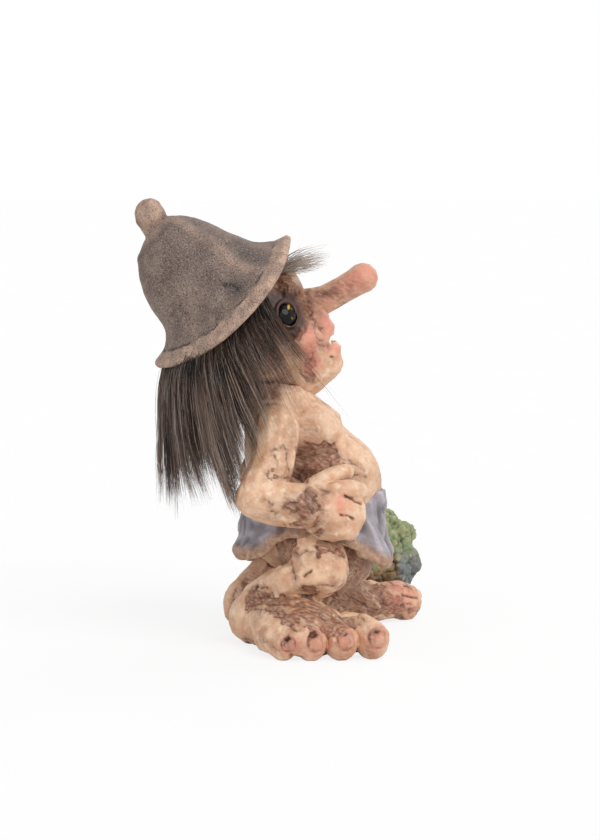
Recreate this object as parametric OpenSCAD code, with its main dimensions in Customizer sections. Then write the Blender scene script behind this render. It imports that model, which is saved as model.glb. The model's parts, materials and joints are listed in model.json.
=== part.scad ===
// Norwegian troll figure, about 15 cm tall: hand-painted castings glued on cast spigots,
// a hollow cast hat over a fur wig, glossy bead eyes, and a moss clump beside the left foot.
// Frame: +Z up, the troll looks along -Y and its right hand is at -X. The origin is on the
// ground in the middle of the figure. All sizes are in millimetres.

/* [Trunk] */
// Height of the hip sockets above the ground
hip_z = 36; // [34:0.5:38]
// Height of the shoulder line above the ground
shoulder_z = 75; // [73:0.5:77]
// Width of the trunk across the hips
pelvis_w = 36; // [34:0.5:39]
// Width of the trunk across the shoulders
shoulder_w = 36.5; // [35:0.5:39]
// Depth of the trunk from front to back at the waist
trunk_d = 27; // [25:0.5:29]
// Width of the round belly
belly_w = 41; // [39:0.5:43]
// Height of the round belly
belly_h = 34; // [32:0.5:36]
// Reach of the belly in front of the hips
belly_reach = 35.5; // [34:0.5:37]
// Width of one breast
breast_w = 20; // [18:0.5:22]
// Width of the neck
neck_w = 23; // [21:0.5:25]

/* [Head] */
// Backward tilt of the head in degrees
head_tilt = 25; // [20:1:30]
// Width of the skull
skull_w = 34; // [32:0.5:36]
// Depth of the skull from forehead to nape
skull_d = 36; // [34:0.5:38]
// Height of the skull
skull_h = 40; // [38:0.5:42]
// Width of the jaw
jaw_w = 26; // [24:0.5:28]
// Width of the chin
chin_w = 13; // [11:0.5:15]
// Width of the mouth
mouth_w = 17; // [15:0.5:19]
// Length of the nose in front of the face
nose_len = 20; // [17:0.5:23]
// Diameter of the nose at its round end
nose_tip_d = 10.2; // [9.2:0.2:11.4]
// Diameter of the nose at its narrow middle
nose_mid_d = 9.2; // [8:0.2:10]
// Diameter of one bead eye
eye_d = 10; // [9:0.2:10.6]
// Distance between the middles of the two eyes
eye_gap = 23; // [22:0.25:23.5]
// Length of the tooth that stands out of the gum
tooth_len = 3; // [2.4:0.2:4]

/* [Hat] */
// Diameter of the brim
brim_d = 60; // [58:0.5:62]
// Height of the hat from the brim to the foot of its knob
hat_h = 35.5; // [33:0.5:37.5]
// Diameter of the knob on top
knob_d = 11; // [9.6:0.2:12]
// Thickness of the cast brim
brim_t = 2.6; // [2:0.1:3.4]
// Backward tilt of the hat against the head in degrees
hat_tilt = 20; // [17:0.5:22]
// How far the sides of the brim hang below its front and back
brim_droop = 4; // [3:0.25:5.5]
// How far the front of the brim turns up, and its back by a third more
brim_flip = 3; // [1.5:0.25:4.5]

/* [Fur] */
// Thickness of the hide that the fur grows on
hide_t = 1.6; // [1.2:0.1:2]
// Width of the hair across both shoulders
hair_w = 53; // [51:0.5:56]
// Height of the lowest tips of the hair above the ground
hair_tip_z = 51; // [48:0.5:54]
// Length of the forelock
forelock_len = 12; // [9:0.5:15]

/* [Arms] */
// Diameter of the upper arm
upper_arm_d = 15; // [13.5:0.5:16.5]
// Diameter of the elbow
elbow_d = 16; // [14.5:0.5:17.5]
// Diameter of the wrist
wrist_d = 15; // [13.5:0.5:16.5]
// Height of the elbows above the ground
elbow_z = 52.5; // [50.5:0.5:54]
// Height of the hand from little finger to forefinger
palm_h = 20; // [18.5:0.5:21.5]
// Thickness of the hand from palm to back
palm_t = 11; // [10:0.5:12]
// Diameter of one finger
finger_d = 6.8; // [6:0.2:7.4]

/* [Loincloth] */
// Width of the cloth at its hem
cloth_w = 53; // [51:0.5:56]
// Thickness of the cast cloth at its hem
cloth_t = 2.4; // [2:0.1:3]
// Height of the waist edge above the ground
waist_z = 50.5; // [49.5:0.5:52]
// Height of the front hem above the ground
hem_front_z = 23; // [21:0.5:26]
// Height of the back hem above the ground
hem_back_z = 27.5; // [25.5:0.5:30]
// Height of the hem over each thigh
hem_side_z = 38; // [36:0.5:40]
// Depth of the hanging folds
fold_depth = 1.4; // [0.8:0.1:2]

/* [Legs] */
// Diameter of the thigh
thigh_d = 20; // [18:0.5:22]
// Diameter of the knee
knee_d = 18; // [16.5:0.5:19.5]
// Diameter of the ankle
ankle_d = 15; // [13.5:0.5:16.5]
// Height of the knees above the ground
knee_z = 27.5; // [26:0.5:29]
// Height of the ankles above the ground
ankle_z = 14; // [12.5:0.5:15.5]
// Outward turn of the right foot in degrees
right_turn = 51; // [47:1:55]
// Outward turn of the left foot in degrees
left_turn = 41; // [37:1:45]
// Length of the foot from heel to big toe
foot_len = 62; // [59:0.5:65]
// Width of the foot across the toes
foot_w = 36; // [33:0.5:38]
// Diameter of the heel
heel_d = 19; // [17.5:0.5:20.5]
// Height of one toe
toe_h = 13; // [12:0.5:14]
// Width of one toe
toe_w = 10; // [9:0.5:10.5]
// Width of one toe nail
nail_d = 5.4; // [5:0.1:5.8]

/* [Tail] */
// Diameter of the tail at its root
tail_root_d = 9; // [8:0.5:10]
// Diameter of the tail at its round end
tail_tip_d = 6; // [5:0.5:7]

/* [Moss clump] */
// Width of the clump along the foot
moss_w = 28; // [26:0.5:31]
// Thickness of the clump across the foot
moss_t = 22; // [20:0.5:25]
// Height of the clump
moss_h = 36; // [33:0.5:39]
// Height of the rounded lumps on it
moss_lump = 1.2; // [0.8:0.1:1.6]

/* [Spigots] */
// Diameter of the cast spigots that join the limbs and the head to the trunk
spigot_d = 6; // [5:0.5:7]
// Length of a spigot inside its socket
spigot_len = 6; // [5:0.5:7]
// Clearance round a spigot for the glue
spigot_fit = 0.15; // [0.1:0.05:0.3]

/* [Hidden] */

right = -1;             // side of the troll's right hand along X
left = 1;
middle = [7.2, -1, 0];    // middle of the footprint, seen from the point between the heels
big = 300;              // reach of the blocks that trim a shape

skin = "#dcb78f";
felt = "#83726a";
cloth = "#8d8a97";
fur = "#3b3330";
moss = "#6f8458";

// ---------- smooth shapes ----------
function unit(v) = v / norm(v);
function place(k) = [k[0], k[1], k[2]];
function spline(a, b, c, d, t) =
    0.5 * (2 * b + (c - a) * t + (2 * a - 5 * b + 4 * c - d) * t * t
    + (3 * b - a - 3 * c + d) * t * t * t);
function key_at(keys, i) = keys[max(0, min(len(keys) - 1, i))];
function refined(keys, steps) = [
    for (i = [0 : len(keys) - 2], j = [0 : steps - 1])
        spline(key_at(keys, i - 1), keys[i], keys[i + 1], key_at(keys, i + 2), j / steps),
    keys[len(keys) - 1]
];
function heading(rings, i) = unit(place(key_at(rings, i + 1)) - place(key_at(rings, i - 1)));

// One ring of a loft. A key is [x, y, z, half width, radius towards top, radius away from it].
function ring(k, ahead, top, n) =
    let (across = unit(cross(ahead, top)), up = unit(cross(across, ahead)))
    [for (j = [0 : n - 1]) let (a = 360 * (j + 0.5) / n)
        place(k) + across * k[3] * cos(a) + up * (sin(a) > 0 ? k[4] : k[5]) * sin(a)];
function shrunk(k, h, r, a) =
    let (c = place(k) + h * r * sin(a))
    [c[0], c[1], c[2], k[3] * cos(a), k[4] * cos(a), k[5] * cos(a)];

// Do the points of a ring run anticlockwise, seen against the direction of travel?
function runs_left(points, travel) =
    let (n = len(points), c = points[0])
    travel * ([for (j = [0 : n - 1]) 1]
        * [for (j = [0 : n - 1]) cross(points[j] - c, points[(j + 1) % n] - c)]) > 0;
// The two triangles between points i and i + 1 of two rings that start at r0 and r1.
function band(r0, r1, n, left) = [
    for (j = [0 : n - 1], t = [0, 1])
        let (k = (j + 1) % n,
             f = t == 0 ? [r0 + j, r0 + k, r1 + k] : [r0 + j, r1 + k, r1 + j])
        left ? [f[0], f[2], f[1]] : f];
function fan(pole, r0, n, left) = [
    for (j = [0 : n - 1])
        let (k = (j + 1) % n) left ? [pole, r0 + j, r0 + k] : [pole, r0 + k, r0 + j]];

// A closed skin over rings of n points each, with a pole at either end.
module skin_over(first, rings, last) {
    n = len(rings[0]);
    m = len(rings);
    left = runs_left(rings[0], rings[1][0] + rings[1][floor(n / 2)] - 2 * first);
    polyhedron(
        concat([first], [for (r = rings) each r], [last]),
        concat(fan(0, 1, n, left),
               [for (i = [0 : m - 2]) each band(1 + i * n, 1 + (i + 1) * n, n, left)],
               fan(1 + m * n, 1 + (m - 1) * n, n, !left)));
}

// A limb with round ends: keys along its middle line, each with its own radii.
module loft(keys, sides = 12, steps = 3, top = [0, 0, 1], dome = [1, 1]) {
    rings = refined(keys, steps);
    last = len(rings) - 1;
    r0 = (rings[0][3] + rings[0][4]) / 2 * dome[0];
    r1 = (rings[last][3] + rings[last][4]) / 2 * dome[1];
    h0 = -heading(rings, 0);
    h1 = heading(rings, last);
    skin_over(
        place(rings[0]) + h0 * r0,
        concat(
            [for (a = [58, 28]) ring(shrunk(rings[0], h0, r0, a), -h0, top, sides)],
            [for (i = [0 : last]) ring(rings[i], heading(rings, i), top, sides)],
            [for (a = [28, 58]) ring(shrunk(rings[last], h1, r1, a), h1, top, sides)]),
        place(rings[last]) + h1 * r1);
}

// A swelling is an ellipsoid: [middle, radii, backward lean in degrees].
function leaned(p, lean) =
    [p[0], p[1] * cos(lean) + p[2] * sin(lean), -p[1] * sin(lean) + p[2] * cos(lean)];
// How far a ray from o along d runs before it leaves the swelling.
function reach_of(o, d, ball) =
    let (m = leaned(o - ball[0], -ball[2]), u = leaned(d, -ball[2]), r = ball[1],
         p = [m[0] / r[0], m[1] / r[1], m[2] / r[2]],
         q = [u[0] / r[0], u[1] / r[1], u[2] / r[2]],
         h = p * q, disc = h * h - (q * q) * (p * p - 1))
    disc < 0 ? 0 : max(0, (-h + sqrt(disc)) / (q * q));
// The reach of several swellings together, with their meeting lines softened.
blend = 14;
function joint_reach(o, d, balls) =
    pow([for (b = balls) 1] * [for (b = balls) pow(reach_of(o, d, b), blend)], 1 / blend);

// An ellipsoid with n points round and m bands from pole to pole.
module blob(centre, radii, n = 14, m = 7, lean = 0) {
    function at(a, b) =
        centre + leaned([radii[0] * cos(b) * cos(a), radii[1] * cos(b) * sin(a),
                         radii[2] * sin(b)], lean);
    skin_over(at(0, -90),
              [for (i = [1 : m - 1]) [for (j = [0 : n - 1]) at(360 * (j + 0.5) / n, -90 + 180 * i / m)]],
              at(0, 90));
}

module in_frame() { translate(-middle) children(); }
module below_ground() { translate([-big / 2, -big / 2, -big]) cube(big); }

// A cast spigot that starts inside its own piece at foot and points along a direction.
module spigot(foot, along, root, fit = 0, end = 0) {
    turn = [0, acos(unit(along)[2]), atan2(along[1], along[0])];
    translate(foot) rotate(turn) translate([0, 0, -root])
        cylinder(h = root + spigot_len + end, d = spigot_d + 2 * fit, $fn = 48);
}

// ---------- trunk ----------
waist_y = -4;
neck_y = -1;
neck_top_z = shoulder_z + 15;
neck_seat = [0, neck_y + 1, neck_top_z - 2];
belly_mid = [0, -belly_reach + belly_h / 2, hip_z + 18];

torso_swellings = concat(
    [[[0, waist_y + 1, hip_z + 4], [pelvis_w / 2, trunk_d * 0.52, 17], 0],
     [belly_mid, [belly_w / 2, belly_h / 2, belly_h / 2], 0],
     [[3, waist_y - 14, hip_z - 8], [16, 15.5, 14], 0],
     [[0, waist_y + 3, shoulder_z - 12], [shoulder_w / 2 - 1.5, trunk_d * 0.47, 22], 0],
     [[0, waist_y + 5, shoulder_z - 2], [shoulder_w / 2, trunk_d * 0.4, 9.5], 0],
     [[0, neck_y, neck_top_z - 8], [neck_w / 2, neck_w / 2, 15], 0]],
    [for (s = [right, left])
        [[s * breast_w * 0.4, waist_y - 7, shoulder_z - 3.4],
         [breast_w / 2, breast_w * 0.56, breast_w * 0.47], 0]],
    [for (s = [right, left])
        [[s * pelvis_w * 0.21, waist_y + 6.5, hip_z + 3],
         [pelvis_w * 0.24, trunk_d * 0.25, trunk_d * 0.34], 0]]);
torso_bottom = hip_z - 21;
torso_levels = [for (f = [0.02 : 0.0544 : 1]) torso_bottom + (neck_top_z - 2 - torso_bottom) * f];
torso_sides = 24;
module torso_form() {
    function spine(z) = [0, waist_y - 10 + 14 * min(1, max(0, (z - torso_bottom - 4) / 28)), z];
    skin_over(spine(torso_bottom),
              [for (z = torso_levels) [for (j = [0 : torso_sides - 1])
                  let (a = 360 * (j + 0.5) / torso_sides, d = [cos(a), sin(a), 0])
                  spine(z) + d * joint_reach(spine(z), d, torso_swellings)]],
              spine(neck_top_z));
}

module torso() {
    color(skin) in_frame() difference() {
        union() {
            torso_form();
            spigot(neck_seat, [0, 0, 1], 3);
        }
        for (s = [right, left]) {
            spigot(shoulder(s), -shoulder_axis(s), 6, fit = spigot_fit, end = 0.3);
            spigot(hip(s), -hip_axis(s), 6, fit = spigot_fit, end = 0.3);
        }
    }
}

// ---------- arms ----------
function shoulder(s) = [s * (shoulder_w / 2 - 1), 1, shoulder_z - 1];
function shoulder_axis(s) = [s, 0, 0];
function elbow(s) = [s * (belly_w / 2 + elbow_d / 2 + 1.5), 6.5, elbow_z];
function wrist(s) = [s * (belly_w / 2 + wrist_d / 2 + 2.5), -8, elbow_z - 3];
function palm(s) = [s * (belly_w / 2 + palm_t / 2 + 1.5), -16.5, elbow_z - 5];

module upper_arm_form(s) {
    a = shoulder(s);
    e = elbow(s);
    u = upper_arm_d / 2;
    loft([[a[0] - s, a[1], a[2], u + 1, u + 0.5, u],
          [a[0] + s * 3, a[1] + 0.5, a[2] - 4, u + 0.7, u + 0.8, u],
          [(a[0] + e[0]) / 2 + s, 2, (a[2] + e[2]) / 2, u - 0.6, u, u - 0.2],
          [e[0], e[1] - 1, e[2] + 3, elbow_d / 2 - 0.5, elbow_d / 2 - 0.5, elbow_d / 2 - 0.5]],
         steps = 2, top = [0, -1, 0]);
}

module arm_form(s) {
    e = elbow(s);
    w = wrist(s);
    p = palm(s);
    upper_arm_form(s);
    loft([[e[0], e[1], e[2], elbow_d / 2, elbow_d / 2, elbow_d / 2],
          [e[0], e[1] - 7, e[2] - 1.5, elbow_d / 2 - 0.3, elbow_d / 2 - 1, elbow_d / 2 + 0.3],
          [w[0], w[1], w[2], wrist_d / 2, wrist_d / 2, wrist_d / 2]],
         steps = 2);
    blob(p - [0, 1.8, 0.4], [palm_t / 2 + 0.2, 11.4, palm_h / 2], n = 12, m = 7);
    for (i = [0 : 2]) {
        z = p[2] + palm_h / 2 - finger_d / 2 - i * (palm_h - finger_d) / 2;
        reach = [1, 0.4, -2][i];
        loft([[p[0] + s, p[1] - 2, z, finger_d / 2, finger_d / 2, finger_d / 2],
              [p[0] + s * 0.8, p[1] - 7 - reach / 2, z + 0.4,
               finger_d / 2 + 0.2, finger_d / 2 + 0.3, finger_d / 2],
              [p[0] - s * 2.5, p[1] - 9.5 - reach, z - 0.6,
               finger_d / 2 - 0.3, finger_d / 2 - 0.2, finger_d / 2 - 0.2]],
             sides = 10, steps = 2);
    }
    loft([[p[0] - s, p[1] + 5, p[2] + palm_h * 0.38, finger_d / 2, finger_d / 2, finger_d / 2],
          [p[0] - s * 4.5, p[1] - 1, p[2] + palm_h * 0.55,
           finger_d * 0.48, finger_d * 0.45, finger_d * 0.45],
          [p[0] - s * 8, p[1] - 6, p[2] + palm_h * 0.6,
           finger_d * 0.42, finger_d * 0.38, finger_d * 0.38]],
         sides = 10, steps = 2);
}

module arm(s) {
    color(skin) in_frame() {
        difference() {
            arm_form(s);
            torso_form();
            cloth_block();
        }
        spigot(shoulder(s), -shoulder_axis(s), 3);
    }
}
module right_arm() { arm(right); }
module left_arm() { arm(left); }

// ---------- legs and feet ----------
right_heel = [-13, 8, 0];
left_heel = [10.5, -1.5, 0];
function heel(s) = s == right ? right_heel : left_heel;
function foot_turn(s) = s == right ? right_turn : left_turn;
// A point of the foot: a ahead of the heel, b towards the other foot, z above the ground.
function foot_point(s, a, b, z) =
    heel(s) + [s * (a * sin(foot_turn(s)) - b * cos(foot_turn(s))),
               -a * cos(foot_turn(s)) - b * sin(foot_turn(s)), z];
function foot_key(s, a, b, z, w, up, down) = concat(foot_point(s, a, b, z), [w, up, down]);
function hip(s) = [s * (pelvis_w / 2 - 5), waist_y - 4, hip_z];
function hip_axis(s) = [s, -0.5, -0.3];
function knee(s) = [s * 25.5, s == right ? -16 : -19, knee_z];
function ankle(s) = foot_point(s, 3, 0, ankle_z);

module foot_form(s) {
    tip = foot_len - heel_d / 2;
    loft([foot_key(s, 0, 0, heel_d * 0.45, heel_d / 2, heel_d * 0.48, heel_d * 0.48),
          foot_key(s, 12, 0, heel_d * 0.44, heel_d * 0.56, heel_d * 0.52, heel_d * 0.46),
          foot_key(s, tip * 0.46, 0, toe_h * 0.72, foot_w * 0.38, toe_h * 0.72, toe_h * 0.75),
          foot_key(s, tip * 0.64, 1.5, toe_h * 0.5, foot_w * 0.44, toe_h * 0.6, toe_h * 0.55)],
         sides = 14, steps = 3, dome = [1, 0.35]);
    for (i = [0 : 3]) {
        reach = tip - [0, 5, 11, 16.5][i] - toe_w / 2;
        b = (foot_w - toe_w) * [0.5, 0.15, -0.17, -0.44][i];
        w = toe_w / 2 * [1.04, 1, 0.96, 0.86][i];
        h = toe_h / 2 * [1.05, 1, 0.95, 0.88][i];
        loft([foot_key(s, reach - 13, b * 0.86, h + 0.6, w, h, h),
              foot_key(s, reach - 6, b, h + 0.8, w * 0.94, h, h),
              foot_key(s, reach - 0.6, b, h * 0.84, w, h, h)],
             sides = 10, steps = 2, dome = [0.6, 0.85]);
        blob(foot_point(s, reach + 1.2, b, h * 0.84 + 3.2), nail_d / 2 * [1, 1, 1], n = 8, m = 5);
    }
}

module thigh_form(s) {
    h = hip(s);
    k = knee(s);
    t = thigh_d / 2;
    loft([[h[0] - s * 2, h[1] + 1, h[2], t, t, t],
          [(h[0] + k[0]) / 2, (h[1] + k[1]) / 2, (h[2] + k[2]) / 2 + 1, t, t * 0.95, t],
          [k[0] - s * 2, k[1] + 1, k[2], knee_d / 2, knee_d / 2, knee_d / 2]],
         steps = 2, dome = [0.5, 1]);
}

module leg_form(s) {
    k = knee(s);
    a = ankle(s);
    thigh_form(s);
    loft([[k[0] - s, k[1] + 2, k[2] - 2, knee_d * 0.45, knee_d * 0.42, knee_d * 0.45],
          [(k[0] + a[0]) / 2, (k[1] + a[1]) / 2 + 1, (k[2] + a[2]) / 2 + 1,
           ankle_d / 2 + 0.6, ankle_d / 2, ankle_d / 2 + 0.8],
          concat(a, [ankle_d / 2, ankle_d / 2, ankle_d / 2])],
         steps = 2);
    foot_form(s);
}

module leg(s) {
    color(skin) in_frame() {
        difference() {
            leg_form(s);
            torso_form();
            below_ground();
        }
        spigot(hip(s), -hip_axis(s), 3);
    }
}
module right_leg() { leg(right); }
module left_leg() { leg(left); }

// ---------- loincloth ----------
// Outline of the cloth at turn a (0 in front, 90 over the right thigh) and at share f of the
// way from waist to hem.
cloth_sides = 40;
cloth_rows = [0, 0.26, 0.45, 0.63, 0.82, 1];
cloth_flare = [0, -1.2, -0.9, -1, 1.3, 0.3];
hip_room = 1.8;         // how far the cloth stands out over the hips at the back
function hem_z(a) =
    let (ahead = (1 + cos(a)) / 2, flap = pow(cos(a), 2))
    hem_side_z + ((ahead * hem_front_z + (1 - ahead) * hem_back_z) - hem_side_z) * flap;
function cloth_ring(f, inset) =
    [for (j = [0 : cloth_sides - 1])
        let (a = 360 * j / cloth_sides,
             sway = lookup(f, [for (i = [0 : 5]) [cloth_rows[i], cloth_flare[i]]]),
             fold = fold_depth * (f * cos(9 * a + 140 * f) + 0.4 * cos(4 * a))
                    + hip_room * pow(sin(2 * a), 2) * (cos(a) > 0 ? 0 : 1),
             side_r = pelvis_w / 2 + 3 + (cloth_w / 2 - pelvis_w / 2 - 3) * f - inset,
             front_r = belly_reach - 10 + sway + 1.5 * f - inset,
             back_r = trunk_d * 0.9 + sway - inset,
             r_y = cos(a) > 0 ? front_r : back_r,
             z = waist_z + 0.8 * cos(3 * a) + (hem_z(a) - waist_z) * f)
        [-(side_r + fold) * sin(a), waist_y - 7 - (r_y + fold) * cos(a), z]];
// A closed wall: its outer rings run from top to hem, and its inner rings back up.
module wall_over(rings) {
    n = len(rings[0]);
    m = len(rings);
    left = runs_left(rings[0], [0, 0, -1]);
    polyhedron([for (r = rings) each r],
               [for (i = [0 : m - 1]) each band(i * n, (i + 1) % m * n, n, left)]);
}
module cloth_block() {
    rings = [for (f = cloth_rows) cloth_ring(f, 0)];
    skin_over([0, waist_y - 7, waist_z + 1], rings, [0, waist_y - 7, hip_z]);
}
module loincloth() {
    color(cloth) in_frame() difference() {
        wall_over(concat([for (f = cloth_rows) cloth_ring(f, 0)],
                       [for (i = [5 : -1 : 0]) cloth_ring(cloth_rows[i], cloth_t + 3 - 3 * cloth_rows[i])]));
        torso_form();
        for (s = [right, left]) thigh_form(s);
    }
}

// ---------- tail ----------
module tail() {
    root = tail_root_d / 2;
    tip = tail_tip_d / 2;
    color(skin) in_frame() difference() {
        loft([[2, waist_y + 5, hip_z - 5, root, root, root],
              [2.5, waist_y + 9.5, hip_z - 13, root, root, root],
              [3.5, waist_y + 15, hip_z - 18.5, root - 0.2, root - 0.2, root - 0.2],
              [4.5, waist_y + 19.2, tip + 9.5, tip + 1, tip + 1, tip + 1],
              [5, waist_y + 20, tip + 4, tip, tip, tip]],
             sides = 10, steps = 3, top = [1, 0, 0]);
        torso_form();
        below_ground();
    }
}

// ---------- head ----------
skull_mid = [0, 5.8, shoulder_z + 32.7];
// A point of the head: x to its left, y behind its middle, z above it, all tilted with it.
function head_point(x, y, z) =
    skull_mid + [x, y * cos(head_tilt) + z * sin(head_tilt),
                 -y * sin(head_tilt) + z * cos(head_tilt)];
function head_key(x, y, z, w, up, down) = concat(head_point(x, y, z), [w, up, down]);
function eye_mid(s) = head_point(s * eye_gap / 2, -skull_d * 0.215, 0.3);
head_up = head_point(0, 0, 1) - skull_mid;
face_y = -skull_d / 2;

function head_ball(x, y, z, radii) = [head_point(x, y, z), radii, head_tilt];
head_swellings = concat(
    [[skull_mid, [skull_w / 2, skull_d / 2, skull_h / 2], head_tilt],
     head_ball(0, face_y + 9, -12.8, [jaw_w / 2, 11, 11.6]),
     head_ball(0, face_y + 3.2, -22, [chin_w / 2, 4.8, 4.2]),
     head_ball(0, face_y + 1.5, -9.8, [mouth_w / 2 - 1, 5.9, 3.9]),
     head_ball(0, face_y + 1.9, -18, [mouth_w * 0.46, 5.2, 3.4]),
     head_ball(0, face_y + 5, 8, [14, 5, 5]),
     head_ball(0, face_y + 12, -20.5, [10, 9.5, 8.5])],
    [for (s = [right, left]) head_ball(s * 9.5, face_y + 6.5, -8.5, [5.5, 5.5, 6.5])],
    [for (s = [right, left]) head_ball(s * 4.4, face_y - 0.6, -5.4, [3.1, 3.8, 3.2])]);
head_sides = 32;
head_bands = 26;
module head_form() {
    core = head_point(0, -4, -6);
    function at(a, b) =
        let (d = leaned([cos(b) * cos(a), cos(b) * sin(a), sin(b)], head_tilt))
        core + d * joint_reach(core, d, head_swellings);
    skin_over(at(0, -90),
              [for (i = [1 : head_bands - 1]) [for (j = [0 : head_sides - 1])
                  at(360 * (j + 0.5) / head_sides, -90 + 180 * i / head_bands)]],
              at(0, 90));
}
module nose_form() {
    nose_end = face_y - nose_len;
    r = nose_mid_d / 2;
    loft([head_key(0, face_y + 6, -0.6, 5.8, 6.4, 5.6),
          head_key(0, face_y - 1, -1.4, 5.2, 6.4, 5),
          head_key(0, face_y - 6, -1.2, r, r + 0.3, r - 0.1),
          head_key(0, (face_y - 6 + nose_end) / 2, -0.8, r, r, r),
          head_key(0, nose_end, 0, nose_tip_d / 2, nose_tip_d / 2, nose_tip_d / 2)],
         sides = 12, steps = 2, top = head_up);
}

module head() {
    color(skin) in_frame() difference() {
        union() {
            head_form();
            nose_form();
        }
        torso_form();
        spigot(neck_seat, [0, 0, 1], 3, fit = spigot_fit, end = 0.3);
        for (s = [right, left]) translate(eye_mid(s)) sphere(d = eye_d);
        blob(head_point(0, face_y - 1.6, -14.3), [mouth_w * 0.42, 3.4, 1.3], n = 12, m = 6,
             lean = head_tilt);
        tooth_peg(spigot_fit);
    }
}

module eye(s) {
    color("#1d1a17") in_frame() translate(eye_mid(s)) sphere(d = eye_d);
}
module right_eye() { eye(right); }
module left_eye() { eye(left); }

module tooth_peg(fit) {
    foot = head_point(-mouth_w * 0.26, face_y + 0.1, -16.1);
    translate(foot) rotate([-head_tilt + 12, 0, 0]) translate([0, 0, -2.5])
        cylinder(h = 2.5 + tooth_len, d1 = 2.6 + 2 * fit, d2 = 1.8 + 2 * fit, $fn = 32);
}
module tooth() { color("#efe9da") in_frame() tooth_peg(0); }

// ---------- hat ----------
hat_lean = head_tilt + hat_tilt;
brim_mid = skull_mid + [0, 10.7, 7.8];
hat_rows = [[0, 0.497, 0.548], [0.08, 0.425, 0.455], [0.2, 0.357, 0.388], [0.37, 0.309, 0.362],
            [0.57, 0.264, 0.343], [0.78, 0.212, 0.283], [0.93, 0.145, 0.2], [1, 0.09, 0.105]];
hat_sides = 24;
function hat_point(x, ahead, up) =
    brim_mid + [x, -ahead * cos(hat_lean) + up * sin(hat_lean),
                ahead * sin(hat_lean) + up * cos(hat_lean)];
function brim_lift(a, share) =
    share * (-brim_droop * pow(sin(a), 2)
             + brim_flip * (pow(max(0, cos(a)), 5) + 1.3 * pow(max(0, -cos(a)), 3)));
function hat_ring(row, inset, drop) = [
    for (j = [0 : hat_sides - 1])
        let (a = 360 * (j + 0.5) / hat_sides,
             front = brim_d * row[1] - inset,
             rear = brim_d * row[2] - inset,
             side = (front + rear) / 2,
             share = pow(1 - row[0], 6))
        hat_point(side * sin(a), (cos(a) > 0 ? front : rear) * cos(a),
                  hat_h * row[0] - drop + brim_lift(a, share))];

module hat_form() {
    skin_over(hat_point(0, 0, 0),
              concat([hat_ring([0, 0.46, 0.5], 0, brim_t)],
                     [for (row = hat_rows) hat_ring(row, 0, 0)]),
              hat_point(0, 0, hat_h + 1));
    knob = knob_d / 2;
    loft([concat(hat_point(0, -1.5, hat_h - 2), [3.8, 3.8, 3.8]),
          concat(hat_point(0, -0.6, hat_h + 1), [4, 4, 4]),
          concat(hat_point(0, 1, hat_h + 3.6), [knob, knob, knob]),
          concat(hat_point(0, 1.8, hat_h + 5.4), [knob * 0.94, knob * 0.94, knob * 0.94])],
         sides = 14, steps = 2, top = [1, 0, 0]);
}
module hat_hollow() {
    skin_over(hat_point(0, 0, -big / 20),
              [hat_ring([0, 0.47, 0.51], 0, brim_t + 6), hat_ring([0, 0.47, 0.51], 0, brim_t),
               hat_ring([0.2, 0.355, 0.385], brim_t, brim_t),
               hat_ring([0.35, 0.30, 0.365], brim_t + 0.6, brim_t)],
              hat_point(0, 0, hat_h * 0.5));
}
module hat() {
    color(felt) in_frame() difference() {
        hat_form();
        hat_hollow();
        head_form();
    }
}

// ---------- fur ----------
module hide_form() {
    intersection() {
        blob(skull_mid, [skull_w / 2 + hide_t, skull_d / 2 + hide_t, skull_h / 2 + hide_t],
             n = 18, m = 10, lean = head_tilt);
        translate(hat_point(-big / 2, 0, 0)) rotate([hat_lean, 0, 0])
            translate([0, -6, -14]) cube([big, big, 16]);
    }
}
module fur_hide() {
    color("#8a7663") in_frame() difference() {
        hide_form();
        head_form();
    }
}

module hair_form() {
    w = hair_w / 2;
    loft([concat(hat_point(0, 1, 1), [w - 8, 20, 17]),
          [0, 16, skull_mid[2] - 8, w - 4, 17, 20.5],
          [0, 19, skull_mid[2] - 20, w - 1, 21, 22.5],
          [0, 21, shoulder_z + 2, w, 20, 21],
          [0, 25.5, (shoulder_z + hair_tip_z) / 2 + 2, w, 14.5, 15.5],
          [0, 30, hair_tip_z + 5, w - 5, 9, 9]],
         sides = 16, steps = 2, top = [0, -1, 0], dome = [0.2, 0.5]);
    // A lock before each shoulder.
    for (s = [right, left])
        loft([[s * (w - 7.5), 5, skull_mid[2] + 10, 3.5, 5, 7],
              [s * (w - 5), 2, skull_mid[2] - 4, 4.5, 6, 13],
              [s * (w - 2.5), -1, skull_mid[2] - 16, 5, 6.5, 15],
              [s * (w + 0.5), -2.5, shoulder_z + 7, 4, 5, 8],
              [s * (w + 1.5), -3.5, shoulder_z + 1, 2.5, 3.5, 4]],
             sides = 10, steps = 1, top = [0, -1, 0], dome = [0.5, 0.8]);
}
module hair() {
    color(fur) in_frame() difference() {
        hair_form();
        head_form();
        hide_form();
        hat_form();
        torso_form();
        for (s = [right, left]) upper_arm_form(s);
    }
}

module forelock() {
    color(fur) in_frame() difference() {
        loft([head_key(0, face_y + 7, 13, 6, 2.4, 2.4),
              head_key(0, face_y + 2, 13, 6.5, 2.6, 2.6),
              head_key(0, face_y + 2 - forelock_len / 2, 12, 6, 2.4, 2.4),
              head_key(0, face_y + 2 - forelock_len, 11.5, 4.5, 1.2, 1.2)],
             sides = 10, steps = 2, top = head_up, dome = [0.4, 0.4]);
        head_form();
        hat_form();
    }
}

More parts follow.
